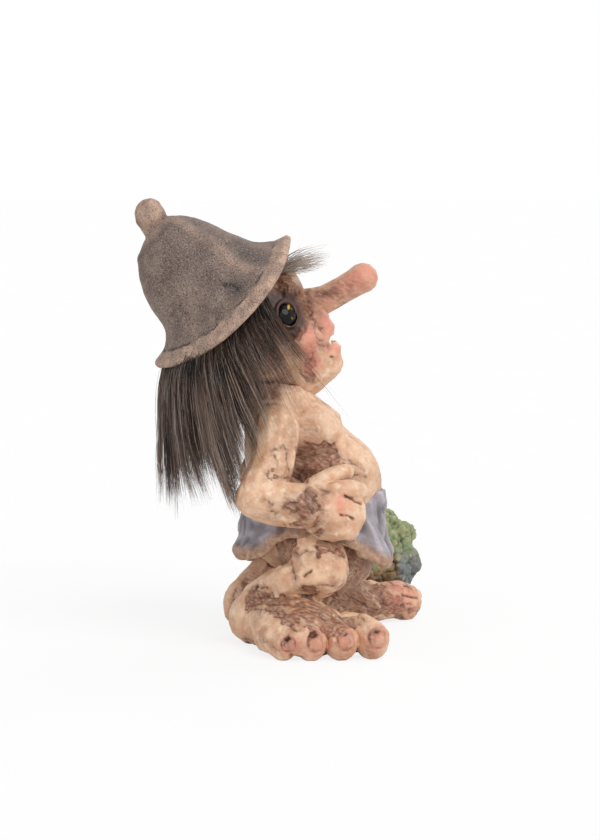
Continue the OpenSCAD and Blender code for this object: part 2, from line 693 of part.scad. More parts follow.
// ---------- moss clump ----------
module moss_clump() {
    mid = [left_heel[0] + 42, -36, moss_h * 0.52];
    n = 30;
    m = 17;
    function lump(a, b) =
        moss_lump * cos(b) * (2.2 * abs(sin(4 * a + 60 * sin(3 * b)) * cos(4 * b + 20)) - 1
                              + 0.5 * sin(9 * a + 4 * b));
    function at(a, b) =
        mid + [(moss_t / 2 + lump(a, b)) * cos(b) * cos(a),
               (moss_w / 2 + lump(a, b)) * cos(b) * sin(a),
               (moss_h / 2 + lump(a, b)) * sin(b) * (b < 0 ? 1.1 : 0.98)];
    color(moss) in_frame() difference() {
        skin_over(at(0, -90),
                  [for (i = [1 : m - 1]) let (b = -90 + 180 * i / m)
                      [for (j = [0 : n - 1]) at(360 * j / n, b)]],
                  at(0, 90));
        leg_form(left);
        below_ground();
    }
}

torso();
loincloth();
right_leg();
left_leg();
right_arm();
left_arm();
tail();
head();
right_eye();
left_eye();
tooth();
hat();
fur_hide();
hair();
forelock();
moss_clump();
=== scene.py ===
# %% [markdown]
# # A hand-painted troll with a fur wig
#
# The real object is a souvenir figure about 15 cm tall. Its limbs, head, hat and cloth are
# cast resin, painted by hand: a light skin colour, a brown wash that settles in the carved
# creases, and pink on the nose, lips and nails. A wig of real fur is glued under the hat.
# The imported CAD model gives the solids. This lesson dresses them for the camera: each cast
# piece is turned into fine "clay", carved and painted, and the wig is grown strand by strand.

# %% Load the frame
import json
import math

import bmesh
import bpy
import numpy as np
from mathutils import Matrix, Vector
from mathutils.bvhtree import BVHTree
from mathutils.kdtree import KDTree

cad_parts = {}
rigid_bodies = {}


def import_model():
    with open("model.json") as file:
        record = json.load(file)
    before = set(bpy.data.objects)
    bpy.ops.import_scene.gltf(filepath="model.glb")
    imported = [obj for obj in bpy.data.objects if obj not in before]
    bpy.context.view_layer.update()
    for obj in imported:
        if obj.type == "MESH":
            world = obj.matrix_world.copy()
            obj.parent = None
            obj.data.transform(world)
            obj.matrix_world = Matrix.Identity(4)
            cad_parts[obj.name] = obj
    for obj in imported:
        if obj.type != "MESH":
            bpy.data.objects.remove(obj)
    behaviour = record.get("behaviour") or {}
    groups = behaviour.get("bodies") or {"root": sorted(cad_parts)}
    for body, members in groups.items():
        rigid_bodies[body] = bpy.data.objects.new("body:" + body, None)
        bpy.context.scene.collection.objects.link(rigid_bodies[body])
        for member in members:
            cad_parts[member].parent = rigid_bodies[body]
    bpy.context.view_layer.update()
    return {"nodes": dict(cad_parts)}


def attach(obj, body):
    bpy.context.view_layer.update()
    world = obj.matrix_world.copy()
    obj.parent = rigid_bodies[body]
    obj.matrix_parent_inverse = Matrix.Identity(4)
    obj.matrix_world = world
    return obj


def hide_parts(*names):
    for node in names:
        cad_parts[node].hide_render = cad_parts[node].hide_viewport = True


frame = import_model()
MM = 0.001
print("solids:", sorted(frame["nodes"]))

# %% [markdown]
# ## The camera
#
# The photograph looks at the troll's right side from a metre away and a little above. A long
# lens keeps the figure's proportions, so the focal length is worked out in pixels first:
# 2914 pixels for a picture 840 pixels high. The same numbers let the script ask later where
# a point of the picture lies on a piece, which is how carved lines find their place.

# %% Place the camera
PICTURE = (600, 840)
FOCAL_PIXELS = 2914
EYE = Vector((-1000.8, -6.2, 188.2))
AHEAD = Vector((0.9936, 0, -0.1132)).normalized()
RIGHT = Vector((0, -1, 0))
UP = RIGHT.cross(AHEAD)


def placed(name, data):
    """A new object of the scene that holds some data."""
    piece = bpy.data.objects.new(name, data)
    bpy.context.scene.collection.objects.link(piece)
    return piece


lens = bpy.data.cameras.new("photo_lens")
lens.sensor_fit = "VERTICAL"
lens.sensor_height = 24
lens.lens = FOCAL_PIXELS * lens.sensor_height / PICTURE[1]
camera = placed("photo_camera", lens)
camera.location = EYE * MM
camera.rotation_euler = AHEAD.to_track_quat("-Z", "Y").to_euler()
bpy.context.scene.camera = camera
print("lens:", round(lens.lens, 1), "mm")

# %% [markdown]
# ## Where things are on the troll
#
# The figure was drawn from the point between its heels, so the same points are used here,
# in millimetres. The head leans back by 25 degrees and the feet turn out, and each has a
# little frame of its own: `on_head` counts from the middle of the skull, `on_foot` from the
# heel.

# %% Points on the figure
MIDDLE = Vector((7.2, -1.0, 0.0))
SKULL = Vector((0, 5.8, 107.7))
HEAD_TILT = math.radians(25)
FACE = -18.0
SIDES = {"right": -1, "left": 1}
HEELS = {"right": (-13, 8, 51), "left": (10.5, -1.5, 41)}


def own(x, y, z):
    """A point in mm, seen from between the heels, as a point of the frame in mm."""
    return Vector((x, y, z)) - MIDDLE


def head_way(x, y, z):
    """A direction of the head: to its left, to its back and up."""
    c, s = math.cos(HEAD_TILT), math.sin(HEAD_TILT)
    return Vector((x, y * c + z * s, -y * s + z * c))


def on_head(x, y, z):
    return own(*(SKULL + head_way(x, y, z)))


def on_foot(side, ahead, inward, up):
    """A point of a foot: ahead of its heel, towards the other foot, above the ground."""
    x, y, turn = HEELS[side]
    s, c = math.sin(math.radians(turn)), math.cos(math.radians(turn))
    return own(x + SIDES[side] * (ahead * s - inward * c), y - ahead * c - inward * s, up)


print("right heel:", on_foot("right", 0, 0, 0), "skull:", on_head(0, 0, 0))

# %% [markdown]
# ## Clay tools
#
# A cast piece has soft forms with crisp carving in them. It could be modelled with a
# subdivision surface, but a carved line can then only run where the mesh has an edge. So
# each piece is handled like a sculptor's clay: the CAD solid is welded, more balls and coils
# of clay are pressed on, and a voxel remesh fuses all of it into one even skin whose points
# are about half a millimetre apart. After that, a form is carved by moving points.

# %% Press clay together
def welded(*nodes):
    """A bmesh in mm of CAD solids, each with its loose triangles joined."""
    clay = bmesh.new()
    for node in nodes:
        clay.from_mesh(frame["nodes"][node].data)
    bmesh.ops.remove_doubles(clay, verts=clay.verts[:], dist=0.000001)
    bmesh.ops.scale(clay, vec=(1 / MM, 1 / MM, 1 / MM), verts=clay.verts[:])
    return clay


def add_ball(clay, middle, radii, turn=None, detail=3):
    """Presses an egg on: its radii are across, front to back, and up."""
    place = Matrix.Translation(middle) @ (turn or Matrix.Identity(4))
    bmesh.ops.create_icosphere(clay, subdivisions=detail, radius=1,
                               matrix=place @ Matrix.Diagonal((*radii, 1)))


def add_coil(clay, points, radii):
    """Rolls a coil through some points, with a radius at each."""
    for a, b, thick_a, thick_b in zip(points, points[1:], radii, radii[1:]):
        steps = max(1, math.ceil((b - a).length / (0.4 * min(thick_a, thick_b))))
        for k in range(steps + 1):
            r = thick_a + (thick_b - thick_a) * k / steps
            add_ball(clay, a.lerp(b, k / steps), (r, r, r), detail=2)


def fused(clay, name, voxel):
    """Fuses overlapping clay into one even skin and gives it a piece of its own."""
    rough = bpy.data.meshes.new(name)
    clay.to_mesh(rough)
    clay.free()
    piece = placed(name, rough)
    remesh = piece.modifiers.new("fuse", "REMESH")
    remesh.mode = "VOXEL"
    remesh.voxel_size = voxel
    done = piece.evaluated_get(bpy.context.evaluated_depsgraph_get())
    piece.data = bpy.data.meshes.new_from_object(done)
    piece.modifiers.clear()
    bpy.data.meshes.remove(rough)
    piece.data.name = name
    return piece


# %% [markdown]
# A piece under the sculptor's hand is a set of arrays. `relax` smooths the facets away: it
# pulls each point to its neighbours and then pushes it back a little more, so that thin
# forms such as fingers keep their size. `hollow` says how deep a point lies between its
# neighbours, which is where a painter's wash settles.

# %% Sculpt with arrays
class Sculpt:
    def __init__(self, piece):
        self.piece = piece
        mesh = piece.data
        self.count = len(mesh.vertices)
        flat = np.empty(self.count * 3)
        mesh.vertices.foreach_get("co", flat)
        self.points = flat.reshape(-1, 3)
        pairs = np.empty(len(mesh.edges) * 2, int)
        mesh.edges.foreach_get("vertices", pairs)
        self.ends = pairs.reshape(-1, 2).T
        self.degree = np.maximum(np.bincount(pairs, minlength=self.count), 1)

    def around(self, values):
        """The mean of each point's neighbours."""
        a, b = self.ends
        if values.ndim == 1:
            total = np.bincount(a, values[b], self.count) + np.bincount(b, values[a], self.count)
            return total / self.degree
        return np.stack([self.around(column) for column in values.T], 1)

    def relax(self, rounds):
        for _ in range(rounds):
            for pull in (0.55, -0.57):
                self.points += pull * (self.around(self.points) - self.points)

    def soften(self, values, rounds):
        for _ in range(rounds):
            values = 0.5 * values + 0.5 * self.around(values)
        return values

    def normals(self):
        mesh = self.piece.data
        mesh.vertices.foreach_set("co", self.points.ravel())
        mesh.update()
        flat = np.empty(self.count * 3)
        mesh.vertex_normals.foreach_get("vector", flat)
        return flat.reshape(-1, 3)

    def raise_by(self, height):
        """Moves each point outwards by its height in mm."""
        self.points = self.points + self.normals() * height[:, None]

    def hollow(self, rounds):
        """How far each point lies below its wider neighbourhood, in mm."""
        wide = self.points
        for _ in range(rounds):
            wide = self.around(wide)
        return ((wide - self.points) * self.normals()).sum(1)

    def tree(self):
        mesh = self.piece.data
        faces = [tuple(face.vertices) for face in mesh.polygons]
        return BVHTree.FromPolygons(self.points.tolist(), faces)

    def paint(self, **layers):
        for name, values in layers.items():
            layer = self.piece.data.attributes.new(name, "FLOAT", "POINT")
            layer.data.foreach_set("value", np.clip(values, 0, 1).astype(np.float32))

    def finish(self):
        mesh = self.piece.data
        mesh.vertices.foreach_set("co", (self.points * MM).ravel())
        mesh.shade_smooth()
        mesh.update()
        print(self.piece.name, self.count, "points")


def grain(points, size, seed=0):
    """Smooth noise from about -1 to 1 at each point, in lumps of about size mm."""
    q = np.asarray(points) / size + np.array([5.17, 3.71, 1.93]) * (seed + 1)
    cell = np.floor(q)
    inside = q - cell
    fade = inside**3 * (inside * (inside * 6 - 15) + 10)
    total = np.zeros(len(q))
    spin = np.array([[127.1, 269.5, 419.2], [311.7, 183.3, 371.9], [74.7, 246.1, 157.3]])
    for corner in np.ndindex(2, 2, 2):
        pull = np.modf(np.sin((cell + corner) @ spin) * 43758.5453)[0]
        share = np.prod(np.where(corner, fade, 1 - fade), axis=1)
        total += share * ((inside - corner) * pull).sum(1)
    return total * 1.7


def drawn_out(points, way, wide, long, seed):
    """Noise whose lumps are wide mm across and long mm along a way."""
    way = np.array(Vector(way).normalized())
    along = points @ way
    return grain((points - along[:, None] * way) / wide + (along / long)[:, None] * way, 1.0, seed)


def shaken(points, size, seed=0):
    """Three noises of a size at each point, as a shift in mm."""
    return np.stack([grain(points, size, seed + k) for k in range(3)], 1)


def step(values, low, high):
    """0 below low, 1 above high, and a smooth step between them."""
    t = np.clip((values - low) / (high - low), 0, 1)
    return t * t * (3 - 2 * t)


def fade(distance, reach):
    """1 where a distance is 0, fading to 0 at about twice the reach."""
    return np.exp(-((distance / reach) ** 2))


def bump(points, middle, reach):
    """1 at the middle, fading to 0 at about twice the reach."""
    return fade(np.linalg.norm(points - np.array(middle), axis=1), reach)


# %% [markdown]
# ## Carved lines
#
# The carver's lines are drawn where the photograph shows them. Each is a few points of the
# picture, and a ray from the camera finds the place of each on the piece. The troll's other
# side is hidden, so it is carved with the same lines, mirrored.

# %% Find picture points on a piece
FAR_OFF = 99.0


def sight(u, v):
    """The way of the line of sight through the point (u, v) of the picture."""
    return (AHEAD * FOCAL_PIXELS + RIGHT * (u - PICTURE[0] / 2)
            + UP * (PICTURE[1] / 2 - v)).normalized()


def at_depth(u, v, x):
    """The place on the line of sight through (u, v) that is x mm to the troll's left."""
    way = sight(u, v)
    return EYE + way * ((x - MIDDLE.x - EYE.x) / way.x) + MIDDLE


def seen(tree, u, v, mirror=False):
    """The place in mm where the line of sight through (u, v) first meets a piece."""
    start, way = EYE.copy(), sight(u, v)
    if mirror:
        start.x, way.x = -2 * MIDDLE.x - start.x, -way.x
    return tree.ray_cast(start, way)[0]


def traced(tree, strokes, mirror=False):
    """Places in mm along strokes of the picture, about 0.3 mm apart."""
    places = []
    for stroke in strokes:
        for (u0, v0), (u1, v1) in zip(stroke, stroke[1:]):
            steps = max(2, int(math.hypot(u1 - u0, v1 - v0)))
            hits = [seen(tree, u0 + (u1 - u0) * k / steps, v0 + (v1 - v0) * k / steps, mirror)
                    for k in range(steps + 1)]
            places += [hit for hit in hits if hit is not None]
    return places


def distance_to(points, places):
    """Each point's distance in mm from the nearest of some places."""
    if not places:
        return np.full(len(points), FAR_OFF)
    kd = KDTree(len(places))
    for k, place in enumerate(places):
        kd.insert(place, k)
    kd.balance()
    return np.array([kd.find(p)[2] for p in points.tolist()])


# %% [markdown]
# ## Node helper and colours
#
# Colours are written as sRGB hex values, as a paint chart gives them, and turned to linear
# light. Patterns read Object coordinates in metres, so `fine(2)` is the scale of a pattern
# whose lumps are 2 mm wide.

# %% Material helpers
def colour(chip):
    """A linear colour from an sRGB hex chip such as #E4C29D."""
    values = [int(chip[k:k + 2], 16) / 255 for k in (1, 3, 5)]
    return [*((x / 12.92) if x <= 0.04045 else ((x + 0.055) / 1.055) ** 2.4 for x in values), 1]


def fine(size):
    """The texture scale whose lumps are size mm wide."""
    return 1 / (size * MM)


def plug(tree, node, inputs):
    """Gives each named input its value, or a link from a socket."""
    for name, value in inputs.items():
        if isinstance(value, bpy.types.NodeSocket):
            tree.links.new(value, node.inputs[name])
        else:
            node.inputs[name].default_value = value


def add(tree, kind, inputs=None, **settings):
    """Adds a node. An input is a value, or a socket to link from."""
    node = tree.nodes.new(kind)
    for name, value in settings.items():
        setattr(node, name, value)
    plug(tree, node, inputs or {})
    return node


def new_material(name):
    """An empty material, its node tree, its shader and its Object coordinates."""
    material = bpy.data.materials.new(name)
    material.use_nodes = True
    tree = material.node_tree
    tree.nodes.clear()
    shader = add(tree, "ShaderNodeBsdfPrincipled")
    add(tree, "ShaderNodeOutputMaterial", {"Surface": shader.outputs[0]})
    return material, tree, shader, add(tree, "ShaderNodeTexCoord").outputs["Object"]


def speck(tree, where, size, detail=2.0, low=0.35, high=0.65):
    """Noise in lumps of size mm, stretched from 0 at low to 1 at high."""
    lumps = add(tree, "ShaderNodeTexNoise",
                {"Vector": where, "Scale": fine(size), "Detail": detail})
    return add(tree, "ShaderNodeMapRange",
               {"Value": lumps.outputs["Fac"], "From Min": low, "From Max": high}).outputs[0]


def painted(tree, below, above, amount):
    """A coat of paint over another, as thick as amount."""
    return add(tree, "ShaderNodeMix", {"Factor": amount, 6: below, 7: above},
               data_type="RGBA").outputs[2]


def layer(tree, name):
    """A layer that the sculpting wrote on the piece."""
    return add(tree, "ShaderNodeAttribute", attribute_name=name).outputs["Fac"]


def merged(tree, a, b, operation="MULTIPLY"):
    """One number from two, held between 0 and 1."""
    return add(tree, "ShaderNodeMath", {0: a, 1: b}, operation=operation,
               use_clamp=True).outputs[0]


def dent(tree, shader, height, depth):
    """Fine relief from a pattern, depth mm deep."""
    node = add(tree, "ShaderNodeBump", {"Height": height, "Distance": depth * MM,
                                        "Strength": 0.8})
    tree.links.new(node.outputs[0], shader.inputs["Normal"])


print("a tan chip in linear light:", colour("#E6C2A2"))

# %% [markdown]
# ## Painted skin
#
# The skin is cast resin under matt acrylic paint. The base coat is a pale tan that varies
# over a few millimetres, as a sponged coat does. The brown wash, the dark pen-like lines in the
# carving and the pink are painted by hand, so they come from layers that the sculpting
# writes on each piece. The layer of dark lines also carries painted shade: round the eyes, on
# the temples under the hair, inside the mouth, in the fold under the arm and in the nail
# grooves. Resin has an IOR of about 1.5, and matt acrylic a roughness near 0.5.

# %% Skin paint
RESIN_IOR = 1.5
KNIFE_SLOPE = math.radians(22)


def streaks(tree, where, size, low=0.35, high=0.65):
    """Noise drawn out four times along the way the carver's knife ran, down to the front."""
    turned = add(tree, "ShaderNodeMapping",
                 {"Vector": where, "Rotation": (KNIFE_SLOPE, 0, 0), "Scale": (1, 4, 1)},
                 vector_type="TEXTURE")
    return speck(tree, turned.outputs[0], size, 3, low, high)


def skin_paint():
    material, tree, shader, where = new_material("matt_acrylic_on_cast_resin")
    base = painted(tree, colour("#E6C2A2"), colour("#D0A07E"), speck(tree, where, 5, 3))
    base = painted(tree, base, colour("#EFD3B6"), speck(tree, where, 3, 3, 0.52, 0.72))
    mottle = speck(tree, where, 1.0, 4, 0.3, 0.7)
    scratch = streaks(tree, where, 0.75)
    base = painted(tree, base, colour("#A97C62"),
                   merged(tree, merged(tree, mottle, speck(tree, where, 3.2)), 0.34))
    thick = add(tree, "ShaderNodeMapRange", {"Value": scratch, "To Min": 0.5, "To Max": 1.1})
    wash = merged(tree, layer(tree, "wash"), thick.outputs[0])
    base = painted(tree, base, colour("#845540"), wash)
    base = painted(tree, base, colour("#5E3A2C"),
                   merged(tree, merged(tree, wash, mottle), 0.42))
    base = painted(tree, base, colour("#DB8673"), merged(tree, layer(tree, "blush"), 0.85))
    # Dark lines in the carving, and painted shade.
    base = painted(tree, base, colour("#3E241B"), layer(tree, "line"))
    gloss = add(tree, "ShaderNodeMapRange", {"Value": mottle, "To Min": 0.46, "To Max": 0.6})
    plug(tree, shader, {"Base Color": base, "Roughness": gloss.outputs[0], "IOR": RESIN_IOR})
    dent(tree, shader, merged(tree, scratch, 0.7), 0.07)
    return material


SKIN = skin_paint()
print("paint:", SKIN.name)


# %% [markdown]
# The carver leaves smooth, light islands and scratches the ground between them, like worn
# driftwood. A warped noise field gives the islands: above zero is an island, and where it
# crosses zero a dark edge is cut. Each piece has a dictionary of marks, found in the
# photograph: `strokes` are carved lines, `clefts` are deep ones, `stains` push the field down
# to brown ground, `smooth` pushes it up, and `tints` and `blushes` are brown and pink glazes
# with no carving under them. The dark glazes, also with no carving under them, are mostly
# painted shade.

# %% Clay, marks and islands
def smooth_skin(node, name, voxel, additions=None, rounds=10):
    """The even, smoothed clay of a CAD node, with more clay pressed on first if asked."""
    clay = welded(node)
    if additions:
        additions(clay)
    sculpt = Sculpt(fused(clay, name, voxel))
    sculpt.relax(rounds)
    return sculpt


def find_spots(tree, carvings, kind):
    """The spots of a kind: the place of each, its reach in mm and its weight."""
    return [(hit, reach, weight) for marks, mirror in carvings
            for u, v, reach, weight in marks.get(kind, ())
            for hit in [seen(tree, u, v, mirror)] if hit is not None]


def find_lines(tree, carvings, kind):
    """Places along the lines of a kind."""
    return [place for marks, mirror in carvings
            for place in traced(tree, marks.get(kind, ()), mirror)]


def glaze(points, spots):
    """The strongest of some spots at each point."""
    total = np.zeros(len(points))
    for middle, reach, weight in spots:
        total = np.maximum(total, weight * bump(points, middle, reach))
    return total


def island_field(p, warp, wobble, seed, stains, smooth):
    """A field that is above zero on the islands and below it on the scratched ground."""
    field = (ISLANDS + grain(p + warp, 14, seed) + 0.4 * grain(p + warp, 5.5, seed + 4)
             + 0.22 * grain(p, 2.2, seed + 5))
    for middle, reach, weight in stains:
        field -= weight * bump(p + 1.4 * wobble, middle, reach)
    for middle, reach, weight in smooth:
        field += weight * bump(p + wobble, middle, reach)
    return field


# %% [markdown]
# The ground is carved 0.42 mm deep, the lines 0.5 mm and the clefts 1.1 mm, each with a
# shaky hand: a line is found at points moved by noise, and its width changes along it. Ground
# is scratched along the limb by `hatch` and has pale flakes where paint is rubbed off.

# %% Carve and paint skin
ISLANDS = 0.34
DEPTH = {"ground": 0.42, "edge": 0.22, "stroke": 0.5, "cleft": 1.1}


def carve_skin(sculpt, seed, carvings, flow=(0.3, -0.5, 0.8), pink=0, dark=0):
    """Carves and paints a piece. A carving is a dictionary of marks and if it is mirrored."""
    p = sculpt.points.copy()
    tree = sculpt.tree()
    spots = {kind: find_spots(tree, carvings, kind)
             for kind in ("stains", "smooth", "tints", "shade_and_dark_glaze", "blushes")}
    warp = 3.2 * shaken(p, 8, seed + 1)
    wobble, shake = shaken(p, 2.4, seed + 12), shaken(p, 1.1, seed + 22)
    field = island_field(p, warp, wobble, seed, spots["stains"], spots["smooth"])
    edge = fade(field, 0.06) * step(grain(p, 5, seed + 6), -0.2, 0.5)
    hatch = drawn_out(p + 0.35 * warp, flow, 0.95, 7, seed + 9)
    jitter = 0.55 * wobble + 0.3 * shake
    near = distance_to(p + jitter, find_lines(tree, carvings, "strokes"))
    cut = (fade(near, 0.34 + 0.2 * grain(p, 2.5, seed + 15))
           * step(grain(p, 3, seed + 16), -0.6, 0.2))
    cleft = fade(distance_to(p + 0.6 * jitter, find_lines(tree, carvings, "clefts")),
                 0.42 + 0.15 * grain(p, 2, seed + 19))
    flake = step(grain(p + 0.5 * warp + 0.8 * wobble, 3.4, seed + 30), 0.12, 0.3)
    ground = (1 - step(field, -0.1, 0.1)) * (1 - 0.5 * flake)
    sculpt.raise_by(0.15 + 0.35 * grain(p, 11, seed + 7) + 0.13 * grain(p, 4, seed + 8)
                    - DEPTH["ground"] * ground - DEPTH["edge"] * edge - DEPTH["stroke"] * cut
                    - DEPTH["cleft"] * cleft + 0.2 * hatch * ground)

    deep = sculpt.soften(step(sculpt.hollow(3), 0.02, 0.2), 1)
    wide = step(sculpt.hollow(14), 0.1, 0.9)
    halo = fade(near, 1.4) * (0.5 + 0.5 * grain(p, 3, seed + 18))
    soft = p + 0.6 * wobble
    scratches = (0.3 + 0.35 * grain(p, 4, seed + 31)) * step(-hatch, 0.15, 0.6)
    # The line layer also carries painted shade: the dark glazes, and what comes in as dark, which
    # is the painted shade round the lids, or the dark nail notches, the painted groove shadow and
    # the dirt of the nails.
    sculpt.paint(
        wash=ground * (0.75 + 0.4 * hatch) + 0.75 * wide + 0.3 * deep + 0.75 * halo
        + glaze(soft, spots["tints"]) + 0.35 * step(grain(p + warp, 6, seed + 17), 0.0, 0.7),
        line=0.62 * cut + 0.6 * edge + 0.85 * cleft + ground * (0.25 * deep + scratches)
        + glaze(soft, spots["shade_and_dark_glaze"]) + dark,
        blush=np.maximum(glaze(soft, spots["blushes"]) * (0.85 + 0.3 * grain(p, 3, seed + 11)),
                         pink))
    sculpt.finish()


def settle(piece, material, slot, *nodes):
    """Gives a piece its paint, its place on the frame and the solids it stands for."""
    piece.data.materials.clear()
    piece.data.materials.append(material)
    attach(piece, "root")
    if nodes:
        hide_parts(*nodes)
    return piece


# %% [markdown]
# ## The trunk
#
# The belly and chest are smooth and pale. Brown wash fills the fold between arm and belly.

# %% Trunk
TRUNK_MARKS = {
    "strokes": [[(307, 447), (318, 446), (328, 444), (333, 447)],
                [(331, 445), (335, 447), (338, 455), (345, 459), (354, 464), (364, 470)],
                [(320, 471), (328, 466), (338, 465), (346, 466), (350, 470), (346, 474),
                 (336, 475), (325, 473), (320, 471)],
                [(349, 481), (355, 485), (361, 488)], [(350, 478), (358, 474), (366, 477)]],
    "stains": [(300, 470, 4.5, 1.2), (312, 460, 5, 1.5), (322, 453, 4.5, 1.3),
               (305, 453, 3, 1.0), (334, 459, 2.2, 0.8), (345, 463, 1.8, 0.7),
               (304, 411, 2.5, 0.7), (362, 560, 10, 1.6), (355, 578, 9, 1.6), (368, 548, 5, 1.2)],
    "tints": [(310, 433, 5, 0.5), (344, 470, 5, 0.3), (358, 482, 4, 0.3), (298, 462, 6, 0.5)],
    "shade_and_dark_glaze": [(302, 474, 3.4, 0.4), (360, 590, 7, 0.25)],
    "smooth": [(330, 425, 7, 1.0), (365, 455, 8, 1.2), (372, 475, 6, 0.8), (345, 430, 6, 1.0)]}
torso = smooth_skin("torso", "carved_torso", 0.5, rounds=14)
carve_skin(torso, 3, [(TRUNK_MARKS, False), (TRUNK_MARKS, True)], (0.2, 0.55, -0.8))
settle(torso.piece, SKIN, "cast_skin", "torso")

# %% [markdown]
# ## Arms
#
# Each arm is a thick, bent log with a mitten hand: three stubby fingers that part only near
# their tips, and a flat thumb on top. The knuckles are pink and the wrist has a brown patch.

# %% Arms
ARM_MARKS = {
    "strokes": [[(267, 479), (275, 478), (292, 478), (308, 476)],
                [(272, 452), (275, 449), (279, 449), (283, 446), (286, 450)],
                [(274, 456), (278, 462), (277, 470)], [(287, 452), (286, 462), (290, 470)],
                [(268, 471), (267, 478), (271, 480)], [(265, 500), (270, 505), (277, 502)],
                [(268, 515), (274, 518), (277, 513), (272, 512)],
                [(308, 480), (305, 491), (306, 503), (311, 510), (314, 513)],
                [(310, 486), (318, 489), (329, 492), (321, 495), (314, 498), (319, 503),
                 (323, 509), (316, 511), (311, 512)],
                [(283, 508), (289, 503), (296, 502), (301, 505), (305, 509), (297, 509),
                 (296, 513), (289, 510), (283, 508)],
                [(293, 523), (298, 529), (307, 532), (318, 534)],
                [(300, 515), (306, 520), (303, 526)], [(318, 516), (316, 524), (310, 528)]],
    "clefts": [[(345, 496), (352, 499), (361, 504)], [(341, 515), (347, 516), (353, 519)]],
    "stains": [(310, 488, 2, 1.6), (317, 492, 2, 1.5), (310, 497, 2.2, 1.5), (312, 506, 2.6, 1.6),
               (319, 508, 1.8, 1.4), (296, 507, 2, 1.4), (290, 508, 1.4, 1.1),
               (298, 525, 1.8, 1.0), (278, 475, 2.2, 0.9), (318, 533, 2, 0.9)],
    "tints": [(308, 520, 4.5, 0.55), (324, 530, 4, 0.35), (284, 503, 4, 0.2)],
    "blushes": [(340, 497, 1.5, 0.9), (340, 503, 1.6, 1.0), (341, 509, 1.6, 1.0),
                (342, 514, 1.5, 0.8), (350, 506, 2.2, 0.5), (334, 505, 3.0, 0.25),
                (352, 523, 2.4, 0.3)],
    "shade_and_dark_glaze": [(311, 490, 1.8, 0.35), (314, 505, 2.2, 0.35), (320, 508, 1.4, 0.3)],
    "smooth": [(255, 495, 7, 0.9), (282, 490, 6, 1.0), (336, 502, 5, 0.9), (335, 522, 5, 0.7),
               (272, 435, 6, 0.7), (283, 458, 5, 0.5), (330, 484, 4, 0.7), (300, 484, 3, 0.5)]}
for side in SIDES:
    arm = smooth_skin(side + "_arm", "carved_" + side + "_arm", 0.38, rounds=9)
    carve_skin(arm, 17 if side == "left" else 11, [(ARM_MARKS, side == "left")], (0, -0.8, 0.45))
    settle(arm.piece, SKIN, "cast_skin", side + "_arm")

# %% [markdown]
# ## Legs and tail
#
# The bent legs end in big flat feet with four toes each. Every toe has a carved nail: a deep
# notch over a pink plate. Nails could be loose shells, but on the cast they are only relief,
# so the skin is pushed in and out around a middle point on each toe.

# %% Toe nails
# Each toe: how far ahead of the heel, towards the other foot and up it is, its turn, its size.
TOES = [(46, 13.0, 6.4, -18, 1.15), (41, 3.9, 6.0, -20, 1.1), (35.5, -4.4, 5.5, -22, 1.05),
        (30, -11.4, 5.0, -26, 0.8)]
NAIL_HALF_WIDTH, NAIL_HALF_HEIGHT = 2.5, 2.9


def nails(sculpt, side):
    """Carves the nails and returns where they are pink and where they are dark."""
    tree = sculpt.tree()
    pink, dark = np.zeros(sculpt.count), np.zeros(sculpt.count)
    out = (on_foot(side, 10, 0, 0) - on_foot(side, 0, 0, 0)).normalized()
    for number, (ahead, inward, up, turn, size) in enumerate(TOES):
        way = out.copy()
        way.rotate(Matrix.Rotation(math.radians(-SIDES[side] * turn), 3, "Z"))
        across = Vector((0, 0, SIDES[side])).cross(way)
        facing = (way + Vector((0, 0, 0.2))).normalized()
        climb = (Vector((0, 0, 1)) - 0.2 * way).normalized()
        middle = tree.ray_cast(on_foot(side, ahead, inward, up) + 14 * facing, -facing)[0]
        offset = sculpt.points - np.array(middle)
        wobble = 0.16 * grain(sculpt.points, 1.3, 5 + number)
        s = offset @ np.array(across) / (NAIL_HALF_WIDTH * size) + wobble
        t = offset @ np.array(climb) / (NAIL_HALF_HEIGHT * size) + wobble
        near = step(-np.linalg.norm(offset, axis=1), -5.2, -4.2)
        ring = (np.abs(s) ** 2.2 + np.abs(t) ** 2.2) ** (1 / 2.2)
        groove = fade(ring - 1, 0.14) * near * step(t, -1.0, 0.0)
        fold = fade(ring - 1.38, 0.2) * near * step(t, -0.4, 0.4)
        tip = fade(s, 0.8) * fade(t + 0.95 - 0.25 * s**2, 0.12) * near
        notch = fade(s - 0.15, 0.5) * fade(t - 0.75 + 0.45 * s**2, 0.27) * near
        plate = step(-ring, -0.95, -0.75) * near
        sculpt.raise_by(0.15 * plate * (1 - t) + 0.5 * fold - 0.45 * groove - 1.1 * notch
                        - 0.3 * tip)
        pink = np.maximum(pink, (0.12 * step(-ring, -1.1, -0.9) + 0.36 * step(-ring, -2.1, -1.1))
                          * near * (1 + 0.4 * grain(sculpt.points, 2, 10)))
        dirt = plate * (0.12 + 0.3 * step(grain(sculpt.points, 1.3, 9), -0.1, 0.5))
        shadow = groove * (0.35 + 0.5 * step(SIDES[side] * -s, -0.3, 0.8)) + 0.5 * tip
        dark = np.maximum(dark, np.maximum(1.5 * notch, shadow + dirt)
                          * (0.9 + 0.5 * grain(sculpt.points, 1.5, 8)))
    return pink, dark


